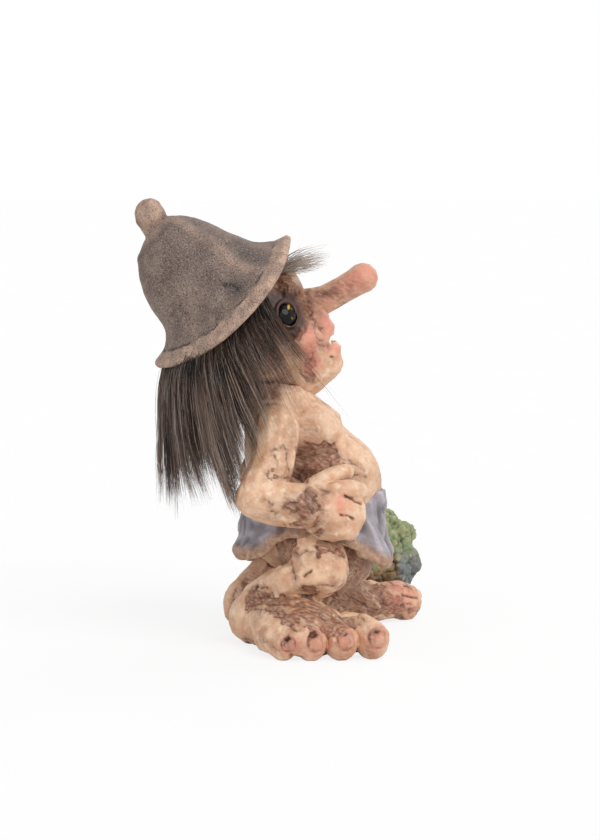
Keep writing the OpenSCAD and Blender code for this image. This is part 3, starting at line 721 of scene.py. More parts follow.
# %% Legs
LEG_MARKS = {
    "strokes": [
        [(292, 561), (293, 571), (296, 580)], [(296, 553), (299, 556), (306, 551), (316, 552)],
        [(316, 545), (318, 551), (317, 557)], [(333, 552), (338, 556), (344, 555)],
        [(345, 556), (348, 566), (347, 579), (338, 587), (325, 585)],
        [(325, 585), (314, 586), (300, 587)], [(298, 590), (303, 587), (312, 587), (319, 589)],
        [(299, 594), (306, 597), (315, 596), (320, 592)],
        [(249, 597), (256, 599), (268, 597), (277, 600), (286, 598), (300, 600)],
        [(250, 605), (262, 603), (275, 604), (290, 604), (302, 606)],
        [(248, 612), (256, 609), (270, 611), (279, 609)],
        [(277, 612), (280, 618), (284, 615), (283, 610)], [(286, 600), (287, 596), (298, 599)],
        [(302, 603), (304, 608), (310, 606)], [(293, 617), (297, 612), (305, 611)],
        [(310, 612), (318, 609), (320, 616), (326, 619)], [(331, 616), (335, 621), (340, 622)],
        [(338, 600), (345, 605), (352, 602)], [(355, 605), (361, 615), (364, 624)],
        [(245, 639), (254, 641), (268, 643), (279, 652)], [(284, 647), (287, 640), (289, 636)],
        [(289, 624), (294, 630), (300, 633)], [(250, 590), (258, 586), (266, 588)]],
    "clefts": [[(304, 577), (307, 574), (311, 571)]],
    "stains": [(252, 602, 3, 1.8), (262, 602, 3.4, 1.9), (274, 603, 4, 2.0), (285, 606, 4.2, 1.8),
               (272, 556, 5, 1.9), (264, 563, 4.5, 1.7), (284, 549, 5, 1.8), (300, 610, 5, 1.6),
               (318, 609, 6, 1.7), (335, 606, 6, 1.5), (347, 608, 5, 1.5), (353, 620, 3.6, 1.3),
               (332, 622, 4, 1.3), (309, 624, 4, 1.3), (294, 622, 2.8, 1.0), (309, 592, 2.8, 1.5),
               (322, 549, 2.2, 1.4), (330, 547, 2, 1.1), (318, 556, 1.5, 1.1),
               (268, 580, 3, 0.5)],
    "tints": [(300, 652, 4, 0.4), (318, 652, 4, 0.4), (345, 652, 4.5, 0.42), (372, 650, 4.5, 0.35),
              (262, 570, 5, 0.4), (268, 585, 4, 0.25), (330, 558, 3, 0.4)],
    "shade_and_dark_glaze": [(327, 652, 1.6, 0.35), (360, 655, 1.6, 0.35), (350, 600, 3, 0.2)],
    "blushes": [(298, 646, 3, 0.5), (304, 651, 3, 0.4), (321, 644, 5, 0.55), (350, 646, 5, 0.4),
                (376, 643, 5, 0.35)],
    "smooth": [(318, 570, 6, 1.3), (335, 572, 5, 1.2), (286, 574, 4.5, 1.1), (256, 628, 6, 1.2),
               (268, 640, 5, 0.9), (240, 620, 5, 0.9), (274, 588, 3, 0.5),
               (358, 610, 1.8, 1.3), (364, 618, 1.8, 1.3), (318, 616, 1.2, 1.6),
               (317, 622, 1.3, 1.6), (333, 616, 1.3, 1.5), (292, 629, 1.5, 1.4),
               (307, 627, 1.4, 1.3), (297, 602, 1.5, 1.4), (335, 600, 1.5, 1.4)]}
FAR_FOOT_MARKS = {
    "strokes": [[(384, 578), (392, 585), (402, 588)], [(392, 603), (400, 606), (410, 604)],
                [(385, 585), (380, 595), (384, 604)], [(352, 598), (366, 606), (380, 612)],
                [(404, 580), (408, 588), (416, 590)], [(381, 604), (394, 607), (407, 605)]],
    "clefts": [[(404, 586), (412, 586), (420, 589)], [(403, 595), (411, 597), (418, 598)]],
    "stains": [(366, 602, 5, 1.6), (378, 600, 4.5, 1.5), (390, 606, 3, 1.3), (352, 592, 7, 1.6),
               (350, 576, 8, 1.5)],
    "blushes": [(400, 588, 5, 0.65), (410, 596, 5, 0.7), (398, 600, 4, 0.5), (412, 608, 4, 0.4)],
    "tints": [(392, 590, 6, 0.45), (404, 612, 5, 0.25)]}

for side in SIDES:
    leg = smooth_skin(side + "_leg", "carved_" + side + "_leg", 0.4, rounds=10)
    pink, dark = nails(leg, side)
    far = side == "left"
    carve_skin(leg, 23 if far else 29, [(LEG_MARKS, far)] + [(FAR_FOOT_MARKS, False)] * far,
               (-0.3, -0.9, -0.35), pink=pink, dark=dark)
    settle(leg.piece, SKIN, "cast_skin", side + "_leg")

# %% Tail
TAIL_MARKS = {"strokes": [[(236, 590), (233, 598), (236, 606)], [(246, 582), (243, 590)]],
              "tints": [(249, 577, 4, 0.5), (238, 604, 3, 0.3)], "smooth": [(233, 600, 6, 0.9)]}
tail = smooth_skin("tail", "carved_tail", 0.38, rounds=8)
carve_skin(tail, 41, [(TAIL_MARKS, False)])
settle(tail.piece, SKIN, "cast_skin", "tail")

# %% [markdown]
# ## The head
#
# The brow, the lips and the long nose come with the solid. The clay adds what a carver does
# last: two lids round each glass eye, a fold from the nose wing to the corner of the mouth,
# a cheek, and a ridge up the middle of the forehead. The nose stays smooth, and its tip, the
# lips and the cheeks blush.

# %% Lids, cheeks and brow
EYE_RADIUS = 5.0
RING_POINTS = 33


def eye_middle(side):
    """The middle of a glass eye."""
    return on_head(SIDES[side] * 11.5, -7.74, 0.3)


def socket_way(side):
    """The way the opening between the lids faces."""
    return head_way(SIDES[side] * 0.78, -0.62, 0.1).normalized()


def gaze(side):
    """The way the iris faces."""
    return head_way(SIDES[side] * 0.27, -0.96, -0.02).normalized()


def eye_ring(side, angle, reach):
    """Points round the opening of the lids, at an angle from its axis and a reach."""
    ahead = socket_way(side)
    across = ahead.cross(Vector((0, 0, 1))).normalized()
    above = across.cross(ahead)
    a = math.radians(angle)
    return [eye_middle(side) + reach * (math.cos(a) * ahead + math.sin(a) * (
        math.cos(turn) * across + 1.12 * math.sin(turn) * above))
        for turn in np.linspace(0, 2 * math.pi, RING_POINTS)]


BROW_LINE = [(281, 263, 0), (286.5, 271.5, 0), (291, 281.5, 0), (298, 293.5, 0)]


def face_clay(clay):
    """Presses lids, folds, cheeks and the forehead's ridge on the head."""
    for side, sign in SIDES.items():
        add_coil(clay, eye_ring(side, 50, 5.3), [0.75] * RING_POINTS)
        add_coil(clay, eye_ring(side, 72, 5.8), [1.2] * RING_POINTS)
        add_coil(clay, [on_head(sign * 4.6, FACE + 0.8, -6), on_head(sign * 8.6, FACE + 4.6, -11),
                        on_head(sign * 8.8, FACE + 5.2, -17), on_head(sign * 7, FACE + 5.6, -22)],
                 [1.5, 2.2, 2.1, 1.4])
        add_ball(clay, on_head(sign * 12, -11, -10), (4.5, 5, 5))
    add_coil(clay, [at_depth(*point) - MIDDLE for point in BROW_LINE], [2.5, 2.7, 2.6, 2.2])


# %% Head
# On the temples, where skin shows between the hairs, and round the eyes and inside the mouth, the
# dark glazes and some brown ones are painted shade.
HEAD_MARKS = {
    "strokes": [[(275, 302), (272, 294), (275, 280), (282, 264)],
                [(311, 309), (310, 317)], [(316, 320), (314, 330), (316, 338), (322, 341)],
                [(314, 341), (320, 345), (327, 346)], [(312, 344), (312, 354), (309, 364)],
                [(300, 295), (305, 298), (308, 303)], [(319, 293), (325, 295), (330, 294)]],
    "clefts": [[(331, 357.5), (333, 357.5)]],
    "stains": [(283, 277, 4, 1.4), (290, 288, 3, 1.0), (303, 306, 3, 1.2), (306, 316, 2.5, 1.0),
               (297, 328, 3, 0.9), (284, 330, 5, 1.0), (320, 330, 2.4, 1.1), (314, 362, 2.6, 1.1)],
    "tints": [(338, 291, 5, 0.9), (347, 287, 5, 0.85), (356, 281, 4.5, 0.7), (366, 275, 3, 0.3),
              (309, 297, 4.5, 0.95), (318, 297, 4, 0.8), (326, 294, 3, 0.75), (300, 293, 4, 0.9),
              (311, 306, 3.4, 0.8), (300, 300, 9, 0.9), (288, 300, 8, 0.9), (272, 320, 9, 0.9),
              (300, 322, 6, 0.7), (316, 350, 5, 0.35), (320, 329, 3, 0.7), (266, 345, 9, 0.9),
              (314, 362, 3, 0.6), (325, 309, 3, 0.3)],
    "shade_and_dark_glaze": [(287, 280, 4, 0.4), (297, 292, 3.5, 0.4), (284, 297, 3.2, 0.8), (290, 299, 3, 0.8),
               (304, 305, 3.4, 0.35), (296, 324, 3.4, 0.45), (272, 312, 7, 0.6),
               (264, 335, 8, 0.55), (309, 298, 2.6, 0.3), (326, 294, 1.6, 0.45),
               (323, 345, 1.4, 0.4), (328, 346, 1.5, 0.5), (281, 270, 3, 0.4),
               (320, 328, 1.8, 0.25), (320, 314, 1.5, 0.55), (316, 300, 3, 0.25),
               (334, 291, 2, 0.3)],
    "blushes": [(371, 273, 5, 1.0), (360, 277, 6, 0.75), (346, 287, 5, 0.4), (330, 302, 4, 0.35),
                (320, 308, 4, 0.25), (328, 324, 4, 1.0), (331, 332, 3.4, 1.0), (322, 336, 3, 0.8),
                (337, 349, 3.4, 1.0), (328, 347, 2.6, 1.0), (309, 335, 4, 1.0),
                (309, 350, 4.2, 1.0), (314, 364, 3.4, 1.0), (322, 316, 3, 0.7)],
    "smooth": [(344, 286, 7, 1.5), (360, 278, 8, 1.4), (326, 303, 3, 1.0), (328, 328, 3, 1.0),
               (336, 349, 3, 1.0), (333, 366, 5, 1.0), (309, 345, 4, 1.0), (296, 281, 1.6, 1.5),
               (301, 288, 1.8, 1.5), (312, 293, 3, 1.0), (322, 295, 3, 0.7), (322, 354, 5, 0.8)]}
head = smooth_skin("head", "carved_head", 0.38, face_clay, rounds=10)
lid_shadow = distance_to(head.points, eye_ring("right", 62, 5.6) + eye_ring("left", 62, 5.6))
carve_skin(head, 53, [(HEAD_MARKS, False), (HEAD_MARKS, True)], (0, -0.5, -0.85),
           dark=0.95 * fade(lid_shadow, 2.7))
settle(head.piece, SKIN, "cast_skin", "head")

# %% [markdown]
# ## Glass-like eyes and a tooth
#
# The eyes are glossy beads with a painted iris under the lacquer. A texture could carry it,
# but the iris is only a matter of the angle from the way the eye looks, so the colour comes
# from a dot product: black pupil, gold ring, black rim, and dark flecks that break the ring.
# IOR 1.5 and low roughness give the wet look.

# %% Eye beads
def set_ramp(ramp, stops):
    """Gives a colour ramp its places and hex chips."""
    while len(ramp.elements) < len(stops):
        ramp.elements.new(0.5)
    for element, (place, chip) in zip(ramp.elements, stops):
        element.position, element.color = place, colour(chip)


def eye_paint(side):
    material, tree, shader, where = new_material("lacquered_bead_" + side)
    from_middle = add(tree, "ShaderNodeVectorMath",
                      {0: where, 1: eye_middle(side) * MM}, operation="SUBTRACT")
    ray = add(tree, "ShaderNodeVectorMath", {0: from_middle.outputs[0]}, operation="NORMALIZE")
    facing = add(tree, "ShaderNodeVectorMath", {0: ray.outputs[0], 1: gaze(side)},
                 operation="DOT_PRODUCT").outputs["Value"]
    ring = add(tree, "ShaderNodeValToRGB", {"Fac": facing})
    set_ramp(ring.color_ramp, [(0.0, "#08080B"), (0.74, "#0C0B0C"), (0.78, "#A87C1C"),
                               (0.83, "#DDB436"), (0.87, "#5A4015"), (0.89, "#0B0A0A"),
                               (1.0, "#050505")])
    fleck = speck(tree, where, 2.6, 2, 0.47, 0.58)
    plug(tree, shader, {"Base Color": painted(tree, ring.outputs[0], colour("#0E0B08"), fleck),
                        "Roughness": 0.06, "IOR": RESIN_IOR, "Specular IOR Level": 0.2})
    return material


for side in SIDES:
    bead = bmesh.new()
    bmesh.ops.create_icosphere(bead, subdivisions=5, radius=EYE_RADIUS * MM,
                               matrix=Matrix.Translation(eye_middle(side) * MM))
    shape = bpy.data.meshes.new(side + "_eye_bead")
    bead.to_mesh(shape)
    bead.free()
    shape.shade_smooth()
    settle(placed(side + "_eye_bead", shape), eye_paint(side), "eye_bead", side + "_eye")
    print(side, "eye at", eye_middle(side))


# %% Tooth
def enamel():
    material, tree, shader, where = new_material("gloss_tooth_enamel")
    ivory = painted(tree, colour("#F4F0E6"), colour("#DCCFB2"), speck(tree, where, 1.2))
    plug(tree, shader, {"Base Color": ivory, "Roughness": 0.22, "IOR": 1.55})
    return material


tooth = Sculpt(fused(welded("tooth"), "rounded_tooth", 0.2))
tooth.relax(6)
tooth.finish()
settle(tooth.piece, enamel(), "tooth_enamel", "tooth")

# %% [markdown]
# ## The hat
#
# The hat is cast like felt that was pulled out of shape: soft dents, a knob on top, a rolled
# rim. It is grey brown with sand-fine dark speckle, and the rim is rubbed to tan.

# %% Hat paint
def hat_paint():
    material, tree, shader, where = new_material("speckled_matt_acrylic")
    base = painted(tree, colour("#88746A"), colour("#6C5A52"), speck(tree, where, 9))
    base = painted(tree, base, colour("#8E7B6D"), speck(tree, where, 4, 3, 0.5, 0.75))
    base = painted(tree, base, colour("#4B4342"), layer(tree, "shade"))
    # Rubbed tan on the rim and the knob, and a painted highlight along the ridge.
    base = painted(tree, base, colour("#CBA892"), layer(tree, "rim"))
    # Cracks, scratches and the dark neck of the knob, with painted shade in the small hollows.
    base = painted(tree, base, colour("#382D29"), layer(tree, "line"))
    grit = speck(tree, where, 0.5, 2, 0.5, 0.62)
    plain = merged(tree, 1.0, merged(tree, layer(tree, "rim"), 0.45), "SUBTRACT")
    base = painted(tree, base, colour("#2E2521"),
                   merged(tree, merged(tree, grit, 0.75), plain))
    sand = speck(tree, where, 0.42, 2, 0.58, 0.7)
    base = painted(tree, base, colour("#CDB9A6"), merged(tree, sand, 0.5))
    plug(tree, shader, {"Base Color": base, "Roughness": 0.72, "IOR": RESIN_IOR})
    dent(tree, shader, grit, 0.08)
    return material


# %% [markdown]
# The brim droops at the sides and turns up in front and at the back. Its edge follows the
# same rule as the solid's, and a coil of clay laid along it makes the rolled rim.

# %% Rim of the hat
BRIM = (0, 16.5, 115.5)
HAT_LEAN = math.radians(45)
BRIM_T = 2.6
BRIM_FRONT, BRIM_REAR = 28.82, 31.88
SIDE_DROOP = 4
FRONT_FLIP, REAR_FLIP = 3, 3.9
RIM_POINTS = 73


def brim_edge():
    """Points round the outer edge of the brim, which droops at the sides and turns up."""
    edge = []
    lean_c, lean_s = math.cos(HAT_LEAN), math.sin(HAT_LEAN)
    for a in np.linspace(0, 2 * math.pi, RIM_POINTS):
        c, s = math.cos(a), math.sin(a)
        ahead = (BRIM_FRONT if c > 0 else BRIM_REAR) * c
        up = (-SIDE_DROOP * s**2 + FRONT_FLIP * max(0, c) ** 5 + REAR_FLIP * max(0, -c) ** 3
              - BRIM_T / 2)
        edge.append(own(BRIM[0] + (BRIM_FRONT + BRIM_REAR) / 2 * s,
                        BRIM[1] - ahead * lean_c + up * lean_s,
                        BRIM[2] + ahead * lean_s + up * lean_c))
    return edge


def hat_height(points):
    """How far rows of points lie above the brim, along the leaning hat."""
    q = points + np.array(MIDDLE) - np.array(BRIM)
    return q[:, 1] * math.sin(HAT_LEAN) + q[:, 2] * math.cos(HAT_LEAN)


RIM = brim_edge()
hat = smooth_skin("hat", "cast_hat", 0.55,
                  lambda clay: add_coil(clay, RIM, [1.55] * RIM_POINTS), 40)

# %% [markdown]
# Between the rim and the knob the wall is smoothed until no facet is left. Its marks are a
# dimple, a few scars, a ridge that runs down from the knob and a valley before the front of
# the brim. Each comes with how much its line wavers. A crack runs where the rim begins.

# %% Carve the hat
KNOB_FOOT = 33
HAT_MARKS = {
    "dimple": (0.7, [[(224, 284), (229, 283), (236, 286)]]),
    "scars": (0.8, [[(172, 316), (176, 311), (181, 305)], [(178, 322), (185, 314)],
                    [(205, 330), (216, 320), (226, 310), (236, 300)], [(198, 336), (210, 328)]]),
    "ridge": (0.5, [[(172, 218), (190, 228), (210, 242), (226, 256), (240, 266), (256, 270)]]),
    "valley": (0, [[(244, 250), (252, 256), (256, 262)]])}
HOLLOW, DARK_SPOT, PALE_SPOT = (233, 288), (185, 252), (150, 292)

height = hat_height(hat.points)
p = hat.points.copy()
tree = hat.tree()
hollow_at, dark_at, pale_at = (seen(tree, *spot) for spot in (HOLLOW, DARK_SPOT, PALE_SPOT))
from_rim = distance_to(p, RIM)
away = (step(from_rim, 3, 7) * step(-height, -KNOB_FOOT, 6 - KNOB_FOOT))[:, None]
hat.points = hat.points * (1 - away) + hat.soften(hat.points, 110) * away
outside = step(hat.normals() @ np.array(Vector((0, math.sin(HAT_LEAN), math.cos(HAT_LEAN)))),
               -0.35, 0.1)
wobble = shaken(p, 3, 66)
dimple, scars, ridge, valley = (distance_to(p + waver * wobble, traced(tree, lines))
                                for waver, lines in HAT_MARKS.values())
crack = fade(from_rim - 4.6 + 0.5 * wobble[:, 0], 0.45) * step(grain(p, 7, 67), -0.1, 0.35)
hat.raise_by(outside * (0.6 * grain(p, 16, 61) + 0.32 * grain(p, 6, 62) + 0.1 * grain(p, 2, 63)
                        + 0.7 * fade(ridge, 2.6) - 0.5 * crack)
             - 0.9 * fade(dimple, 0.8) - 1.6 * bump(p, hollow_at, 3.6)
             - 0.35 * fade(scars, 0.7))

# %% Paint the hat
knob = step(height, KNOB_FOOT, KNOB_FOOT + 6)
edge = step(-from_rim + 0.9 * wobble[:, 1] + 1.6 * grain(p, 11, 70), -5.0, -3.2)
rubbed = np.maximum(0.6 * edge + 0.25 * step(-from_rim, -2.2, -1.4), 0.7 * knob)
neck = fade(height - KNOB_FOOT, 1.1) * step(grain(p, 3, 69), -0.2, 0.4)
scratched = fade(scars, 0.8) * step(grain(p, 1.5, 68), -0.4, 0.4)
# The rim layer is the rubbed rim and knob, plus a painted highlight on the ridge. The line layer
# adds painted shade in the small hollows. The shade layer is painted shade in the wide hollows,
# the dent, the valley and one dark spot, lighter at one pale spot, with some random tone.
hat.paint(
    rim=(rubbed + 0.3 * fade(ridge, 2.2)) * (0.85 + 0.8 * grain(p, 4, 64)),
    line=0.7 * crack + 0.5 * neck + 0.8 * fade(dimple, 0.7) + 0.4 * scratched
    + 0.4 * step(hat.hollow(3), 0.05, 0.2),
    shade=0.6 * step(hat.hollow(12), 0.05, 0.5) + 0.25 * step(grain(p, 15, 65), 0.1, 0.7)
    + 0.7 * bump(p, hollow_at, 4) + 0.45 * bump(p, dark_at, 13) - 0.3 * bump(p, pale_at, 12)
    + 0.6 * fade(valley, 4))
hat.finish()
settle(hat.piece, hat_paint(), "cast_hat", "hat")

# %% [markdown]
# ## The cloth
#
# The loincloth is cast stiff, painted blue grey with a brush and rubbed to tan along the hem.
# Painted shade darkens the folds and a painted highlight lightens their ridges. Real cloth
# could be simulated, but this one is a casting, so its folds are carved like the skin.

# %% Cloth paint
def cloth_paint():
    material, tree, shader, where = new_material("brushed_blue_grey_acrylic")
    base = painted(tree, colour("#8D878C"), colour("#A7A1A8"), speck(tree, where, 5, 3))
    # Darker blue grey: painted shade deep in the folds, and random blotches.
    base = painted(tree, base, colour("#5E5961"), layer(tree, "wash"))
    # Paler blue grey: a painted highlight on the ridges of the folds and on rounded parts.
    base = painted(tree, base, colour("#BEB8C2"), layer(tree, "worn"))
    rust = speck(tree, where, 1.6, 3)
    base = painted(tree, base, painted(tree, colour("#C6A083"), colour("#A07A62"), rust),
                   layer(tree, "hem"))
    # Dark line: painted shade at the bottom of the deepest folds, and a broken line above the hem.
    base = painted(tree, base, colour("#45383A"), layer(tree, "line"))
    brush = streaks(tree, where, 0.7, 0.3, 0.75)
    base = painted(tree, base, colour("#77625A"), merged(tree, brush, 0.35))
    plug(tree, shader, {"Base Color": base, "Roughness": 0.6, "IOR": RESIN_IOR})
    dent(tree, shader, brush, 0.06)
    return material


# %% [markdown]
# In front the folds run down, and at the sides and the back they run round the hips. The
# cloth's right rear corner hangs a little lower than the solid's. The hem is low in front and
# at the back and high at the hips, and the tan is painted by the height above it.

# %% Cloth
HIP_RADII = (26.5, 26)
HIPS_AHEAD = 11
HEM_FRONT, HEM_REAR, HEM_HIP = 23, 27.5, 38

cloth = smooth_skin("loincloth", "cast_loincloth", 0.45, rounds=22)
cloth.points = cloth.soften(cloth.points, 6)
corner = own(-18, 8, 33)
cloth.points[:, 2] -= 2.4 * bump(cloth.points, corner, 7)
cloth.points[:, 1] -= 1.2 * bump(cloth.points, corner, 7)
p = cloth.points.copy()
bent = p + 2.4 * shaken(p, 10, 75)
hanging = step(-(p[:, 1] + MIDDLE.y), 4, 12)
fold = (drawn_out(bent, (0, -0.6, -0.8), 4.0, 26, 78) * hanging
        + drawn_out(bent, (0, -0.96, 0.12), 4.6, 24, 79) * (1 - hanging))
fold = np.clip(1.8 * fold, -1, 1)
cloth.raise_by(0.9 * fold + 0.35 * grain(p, 9, 71) + 0.12 * grain(p, 3, 72))
turn = np.arctan2(-(p[:, 0] + MIDDLE.x) / HIP_RADII[0],
                  -(p[:, 1] + MIDDLE.y + HIPS_AHEAD) / HIP_RADII[1])
front = (1 + np.cos(turn)) / 2
hem_line = HEM_HIP + (front * HEM_FRONT + (1 - front) * HEM_REAR - HEM_HIP) * np.cos(turn) ** 2
above = p[:, 2] - hem_line + 2.4 * bump(p, corner, 7)
# Painted shade in the fold troughs and a painted highlight on their ridges; the hem is rubbed tan.
cloth.paint(
    wash=0.8 * step(-fold, -0.1, 0.7) + 0.4 * step(grain(p, 8, 73), 0, 0.8),
    worn=0.75 * step(fold, 0.2, 0.85) + 0.3 * step(-cloth.hollow(9), 0.1, 0.5),
    line=0.4 * step(-fold, 0.6, 1.0)
    + 0.3 * fade(above - 4.2, 0.6) * step(grain(p, 4, 76), 0.0, 0.4),
    hem=step(-above + 0.9 * grain(p, 5, 74), -6.2, -2.0))
cloth.finish()
settle(cloth.piece, cloth_paint(), "cast_cloth", "loincloth")

# %% [markdown]
# ## The moss clump
#
# The lump of moss is cast too. Its surface is a crowd of round cushions with smaller ones on
# them, so each point is raised by how near it is to the closest of 170 large seeds and of
# 1500 small ones. The gaps between the cushions are painted dark as shade, and the tops of
# the cushions get a painted highlight.

# %% Moss paint
def moss_paint():
    material, tree, shader, where = new_material("moss_acrylic_with_painted_light")
    base = painted(tree, colour("#6E8A5E"), colour("#A9A67C"), speck(tree, where, 2.6, 3))
    base = painted(tree, base, colour("#B3906A"), layer(tree, "ochre"))
    base = painted(tree, base, colour("#6C7A80"), layer(tree, "slate"))
    base = painted(tree, base, colour("#5E4A38"), layer(tree, "wash"))
    # Painted shade in the gaps between the cushions and in the hollows.
    base = painted(tree, base, colour("#33281F"), layer(tree, "line"))
    # Pale flecks as a painted highlight on the tops of the cushions.
    base = painted(tree, base, colour("#C9BE98"),
                   merged(tree, layer(tree, "worn"), speck(tree, where, 0.8, 2)))
    plug(tree, shader, {"Base Color": base, "Roughness": 0.68, "IOR": RESIN_IOR})
    dent(tree, shader, speck(tree, where, 0.5, 3), 0.08)
    return material


# %% Moss
def cushions(sculpt, seeds, size, high, stir):
    """Height of a crowd of round cushions, and how close each point is to a gap."""
    draw = np.random.default_rng(seeds)
    kd = KDTree(seeds)
    for k, place in enumerate(sculpt.points[draw.integers(0, sculpt.count, seeds)]):
        kd.insert(place, k)
    kd.balance()
    stirred = sculpt.points + stir * shaken(sculpt.points, 3 * stir, seeds)
    near = np.array([[hit[2] for hit in kd.find_n(q, 2)] for q in stirred.tolist()])
    dome = np.sqrt(np.clip(1 - (near[:, 0] / size) ** 2, 0, 1))
    return high * dome, step(near[:, 0] - near[:, 1], -0.7, 0.0)


moss = smooth_skin("moss_clump", "cast_moss_clump", 0.4, rounds=10)
dome, gap = cushions(moss, 170, size=3.4, high=1.2, stir=1.2)
small, slit = cushions(moss, 1500, size=1.0, high=0.4, stir=0.6)
p = moss.points.copy()
base_fade = step(p[:, 2], 0.3, 2.5)
moss.raise_by((dome + small - 0.3 * gap - 0.9 + 0.5 * grain(p, 3, 83)) * base_fade)
moss.relax(1)
side_of = p[:, 1] - p[:, 1].mean()
brown = step(grain(p, 6, 84) + 0.4 * grain(p, 2, 85), -0.1, 0.5)
# The line layer is painted shade in the gaps and hollows; the highlight is painted on the tops.
moss.paint(line=0.5 * gap * brown + 0.12 * slit + 0.5 * step(moss.hollow(8), 0.2, 0.9),
           wash=0.55 * step(moss.hollow(5), 0.0, 0.4) + 0.6 * brown * step(-p[:, 2], -26, -10),
           worn=0.7 * step(-moss.hollow(6), 0.1, 0.5),
           ochre=step(-p[:, 2] + 6 * grain(p, 5, 81), -24, -13) * 0.8,
           slate=step(-side_of + 4 * grain(p, 5, 82), 4, 9) * step(-p[:, 2], -26, -16) * 0.9)
moss.finish()
settle(moss.piece, moss_paint(), "cast_moss", "moss_clump")

# %% [markdown]
# ## The wig
#
# The wig is a hide with long straight fur. Blender's particle hair would not reach the mesh
# files, so each strand is a thin curve. Six guide lines on a side, drawn from the back of
# the head round to the temple, say how the fur falls. A strand is a blend of its two nearest
# guides, and it leans to the middle line of its lock, so that the locks end in points.

# %% Guides of the fur
# Each point: its place in the picture and how many mm to the troll's left it lies.
FUR_IN_PICTURE = [
    [(176, 338, 0), (167, 362, 0), (165, 390, 0), (167, 425, 0), (169, 465, 0), (170, 508, 0)],
    [(190, 340, -14), (178, 362, -19), (175, 392, -21), (178, 428, -21.5), (186, 465, -21),
     (196, 502, -19)],
    [(212, 330, -19), (200, 354, -24), (200, 385, -27.5), (208, 425, -30), (222, 470, -31),
     (238, 512, -30)],
    [(236, 312, -20), (224, 338, -25), (230, 368, -28), (241, 398, -31), (253, 428, -35),
     (264, 462, -37)],
    [(256, 290, -18), (246, 318, -22), (256, 345, -25), (270, 372, -27), (284, 400, -30),
     (298, 430, -32)],
    [(276, 268, -15), (266, 294, -19), (279, 318, -19), (297, 345, -18.5), (316, 372, -18),
     (335, 398, -17)]]
FUR_GUIDES = np.array([[at_depth(*point) for point in guide] for guide in FUR_IN_PICTURE])
GUIDES, ROWS = FUR_GUIDES.shape[:2]
FUR_CORE = np.array([0.0, 15.0])
ROOTS_IN = 0.16


def on_rows(rows, x):
    """Smooth points through rows (strand, row, value), at places x (strand, place)."""
    last = rows.shape[1] - 1
    k = np.clip(np.floor(x).astype(int), 0, last - 1)
    f = (x - k)[:, :, None]
    a, b, c, d = (np.take_along_axis(rows, np.clip(k + n, 0, last)[:, :, None], 1)
                  for n in (-1, 0, 1, 2))
    return b + 0.5 * f * (c - a + f * (2 * a - 5 * b + 4 * c - d + f * (3 * (b - c) + d - a)))


def falls(g, depth, start, reach, places):
    """Strands that fall at place g between the guides, as (strand, place, xyz) in mm.

    A depth draws a strand in towards the core, and its root is drawn in under the brim.
    """
    wide = (len(g), GUIDES, ROWS * 3)
    rows = np.broadcast_to(FUR_GUIDES.reshape(1, *wide[1:]), wide)
    lines = on_rows(rows, g[:, None]).reshape(-1, ROWS, 3)
    along = start[:, None] + (reach - start)[:, None] * np.linspace(0, 1, places)[None, :]
    x = (ROWS - 1) * along
    p = on_rows(lines, x)
    shrink = (1 - depth[:, None] - ROOTS_IN * np.clip(1 - x / 1.1, 0, 1))[:, :, None]
    p[:, :, :2] = FUR_CORE + (p[:, :, :2] - FUR_CORE) * shrink
    return p


print(GUIDES, "guides with", ROWS, "points each")


# %% [markdown]
# Under the loose strands lies the dense under-fur. It is made from the CAD solids of the fur
# and the hide, cut off before the face and below the neck, carved with fine grooves that run
# down, and kept dark, so that gaps between strands show shadow and not skin.

# %% Under-fur
def fur_paint(name, root, middle, tip):
    material, tree, shader, where = new_material(name)
    shade = add(tree, "ShaderNodeValToRGB", {"Fac": layer(tree, "along")})
    # Near black at the root, partly painted shade under the brim, paler to the tip.
    set_ramp(shade.color_ramp, [(0.27, root), (0.5, middle), (0.9, tip)])
    base = painted(tree, shade.outputs[0], colour("#7C5644"), layer(tree, "brown"))
    # Near black for the dark locks and the roots, which also stands for the shade under the brim
    # and deep inside the wig.
    base = painted(tree, base, colour("#17120F"), layer(tree, "dark"))
    base = painted(tree, base, colour("#C4B8AE"), layer(tree, "grey"))
    base = painted(tree, base, colour("#6E4E3C"), merged(tree, speck(tree, where, 9), 0.25))
    plug(tree, shader, {"Base Color": base, "Roughness": 0.45, "IOR": 1.55,
                        "Specular IOR Level": 0.18})
    return material


FUR = fur_paint("long_goat_fur", "#0F0D0D", "#675A54", "#B5A599")
fur_clay = welded("hair", "fur_hide")
for place, way in ((own(0, 8, 95), (0, -1, -0.12)), (own(0, 0, 80), (0, 0, -1))):
    bmesh.ops.bisect_plane(fur_clay, geom=[*fur_clay.verts, *fur_clay.edges, *fur_clay.faces],
                           plane_co=place, plane_no=way, clear_outer=True)
    bmesh.ops.holes_fill(fur_clay, edges=[e for e in fur_clay.edges if e.is_boundary])
under = Sculpt(fused(fur_clay, "under_fur", 0.8))
under.relax(20)
q = under.points.copy()
q[:, 2] *= 0.06
under.raise_by(-1.6 + 0.7 * grain(q, 1.6, 91) + 0.5 * grain(q, 4, 92))
under.paint(along=0.15 + 0 * q[:, 0], dark=0.9 + 0.2 * grain(q, 1.5, 93))
under.finish()
settle(under.piece, FUR, "fur", "hair", "fur_hide")

# %% [markdown]
# Each strand has eight points and a square section: that is 56 triangles, and at a tenth to
# a third of a millimetre thick nobody sees its corners. A strand that would cut into the body
# or an arm is lifted on to its surface. Strands are drawn as curves and then made meshes.

# %% Grow strands
def solid_tree(*pieces):
    """One search tree in mm over the faces of some finished pieces."""
    points, faces = [], []
    for piece in pieces:
        start = len(points)
        points += [v.co / MM for v in piece.data.vertices]
        faces += [[start + k for k in face.vertices] for face in piece.data.polygons]
    return BVHTree.FromPolygons(points, faces)


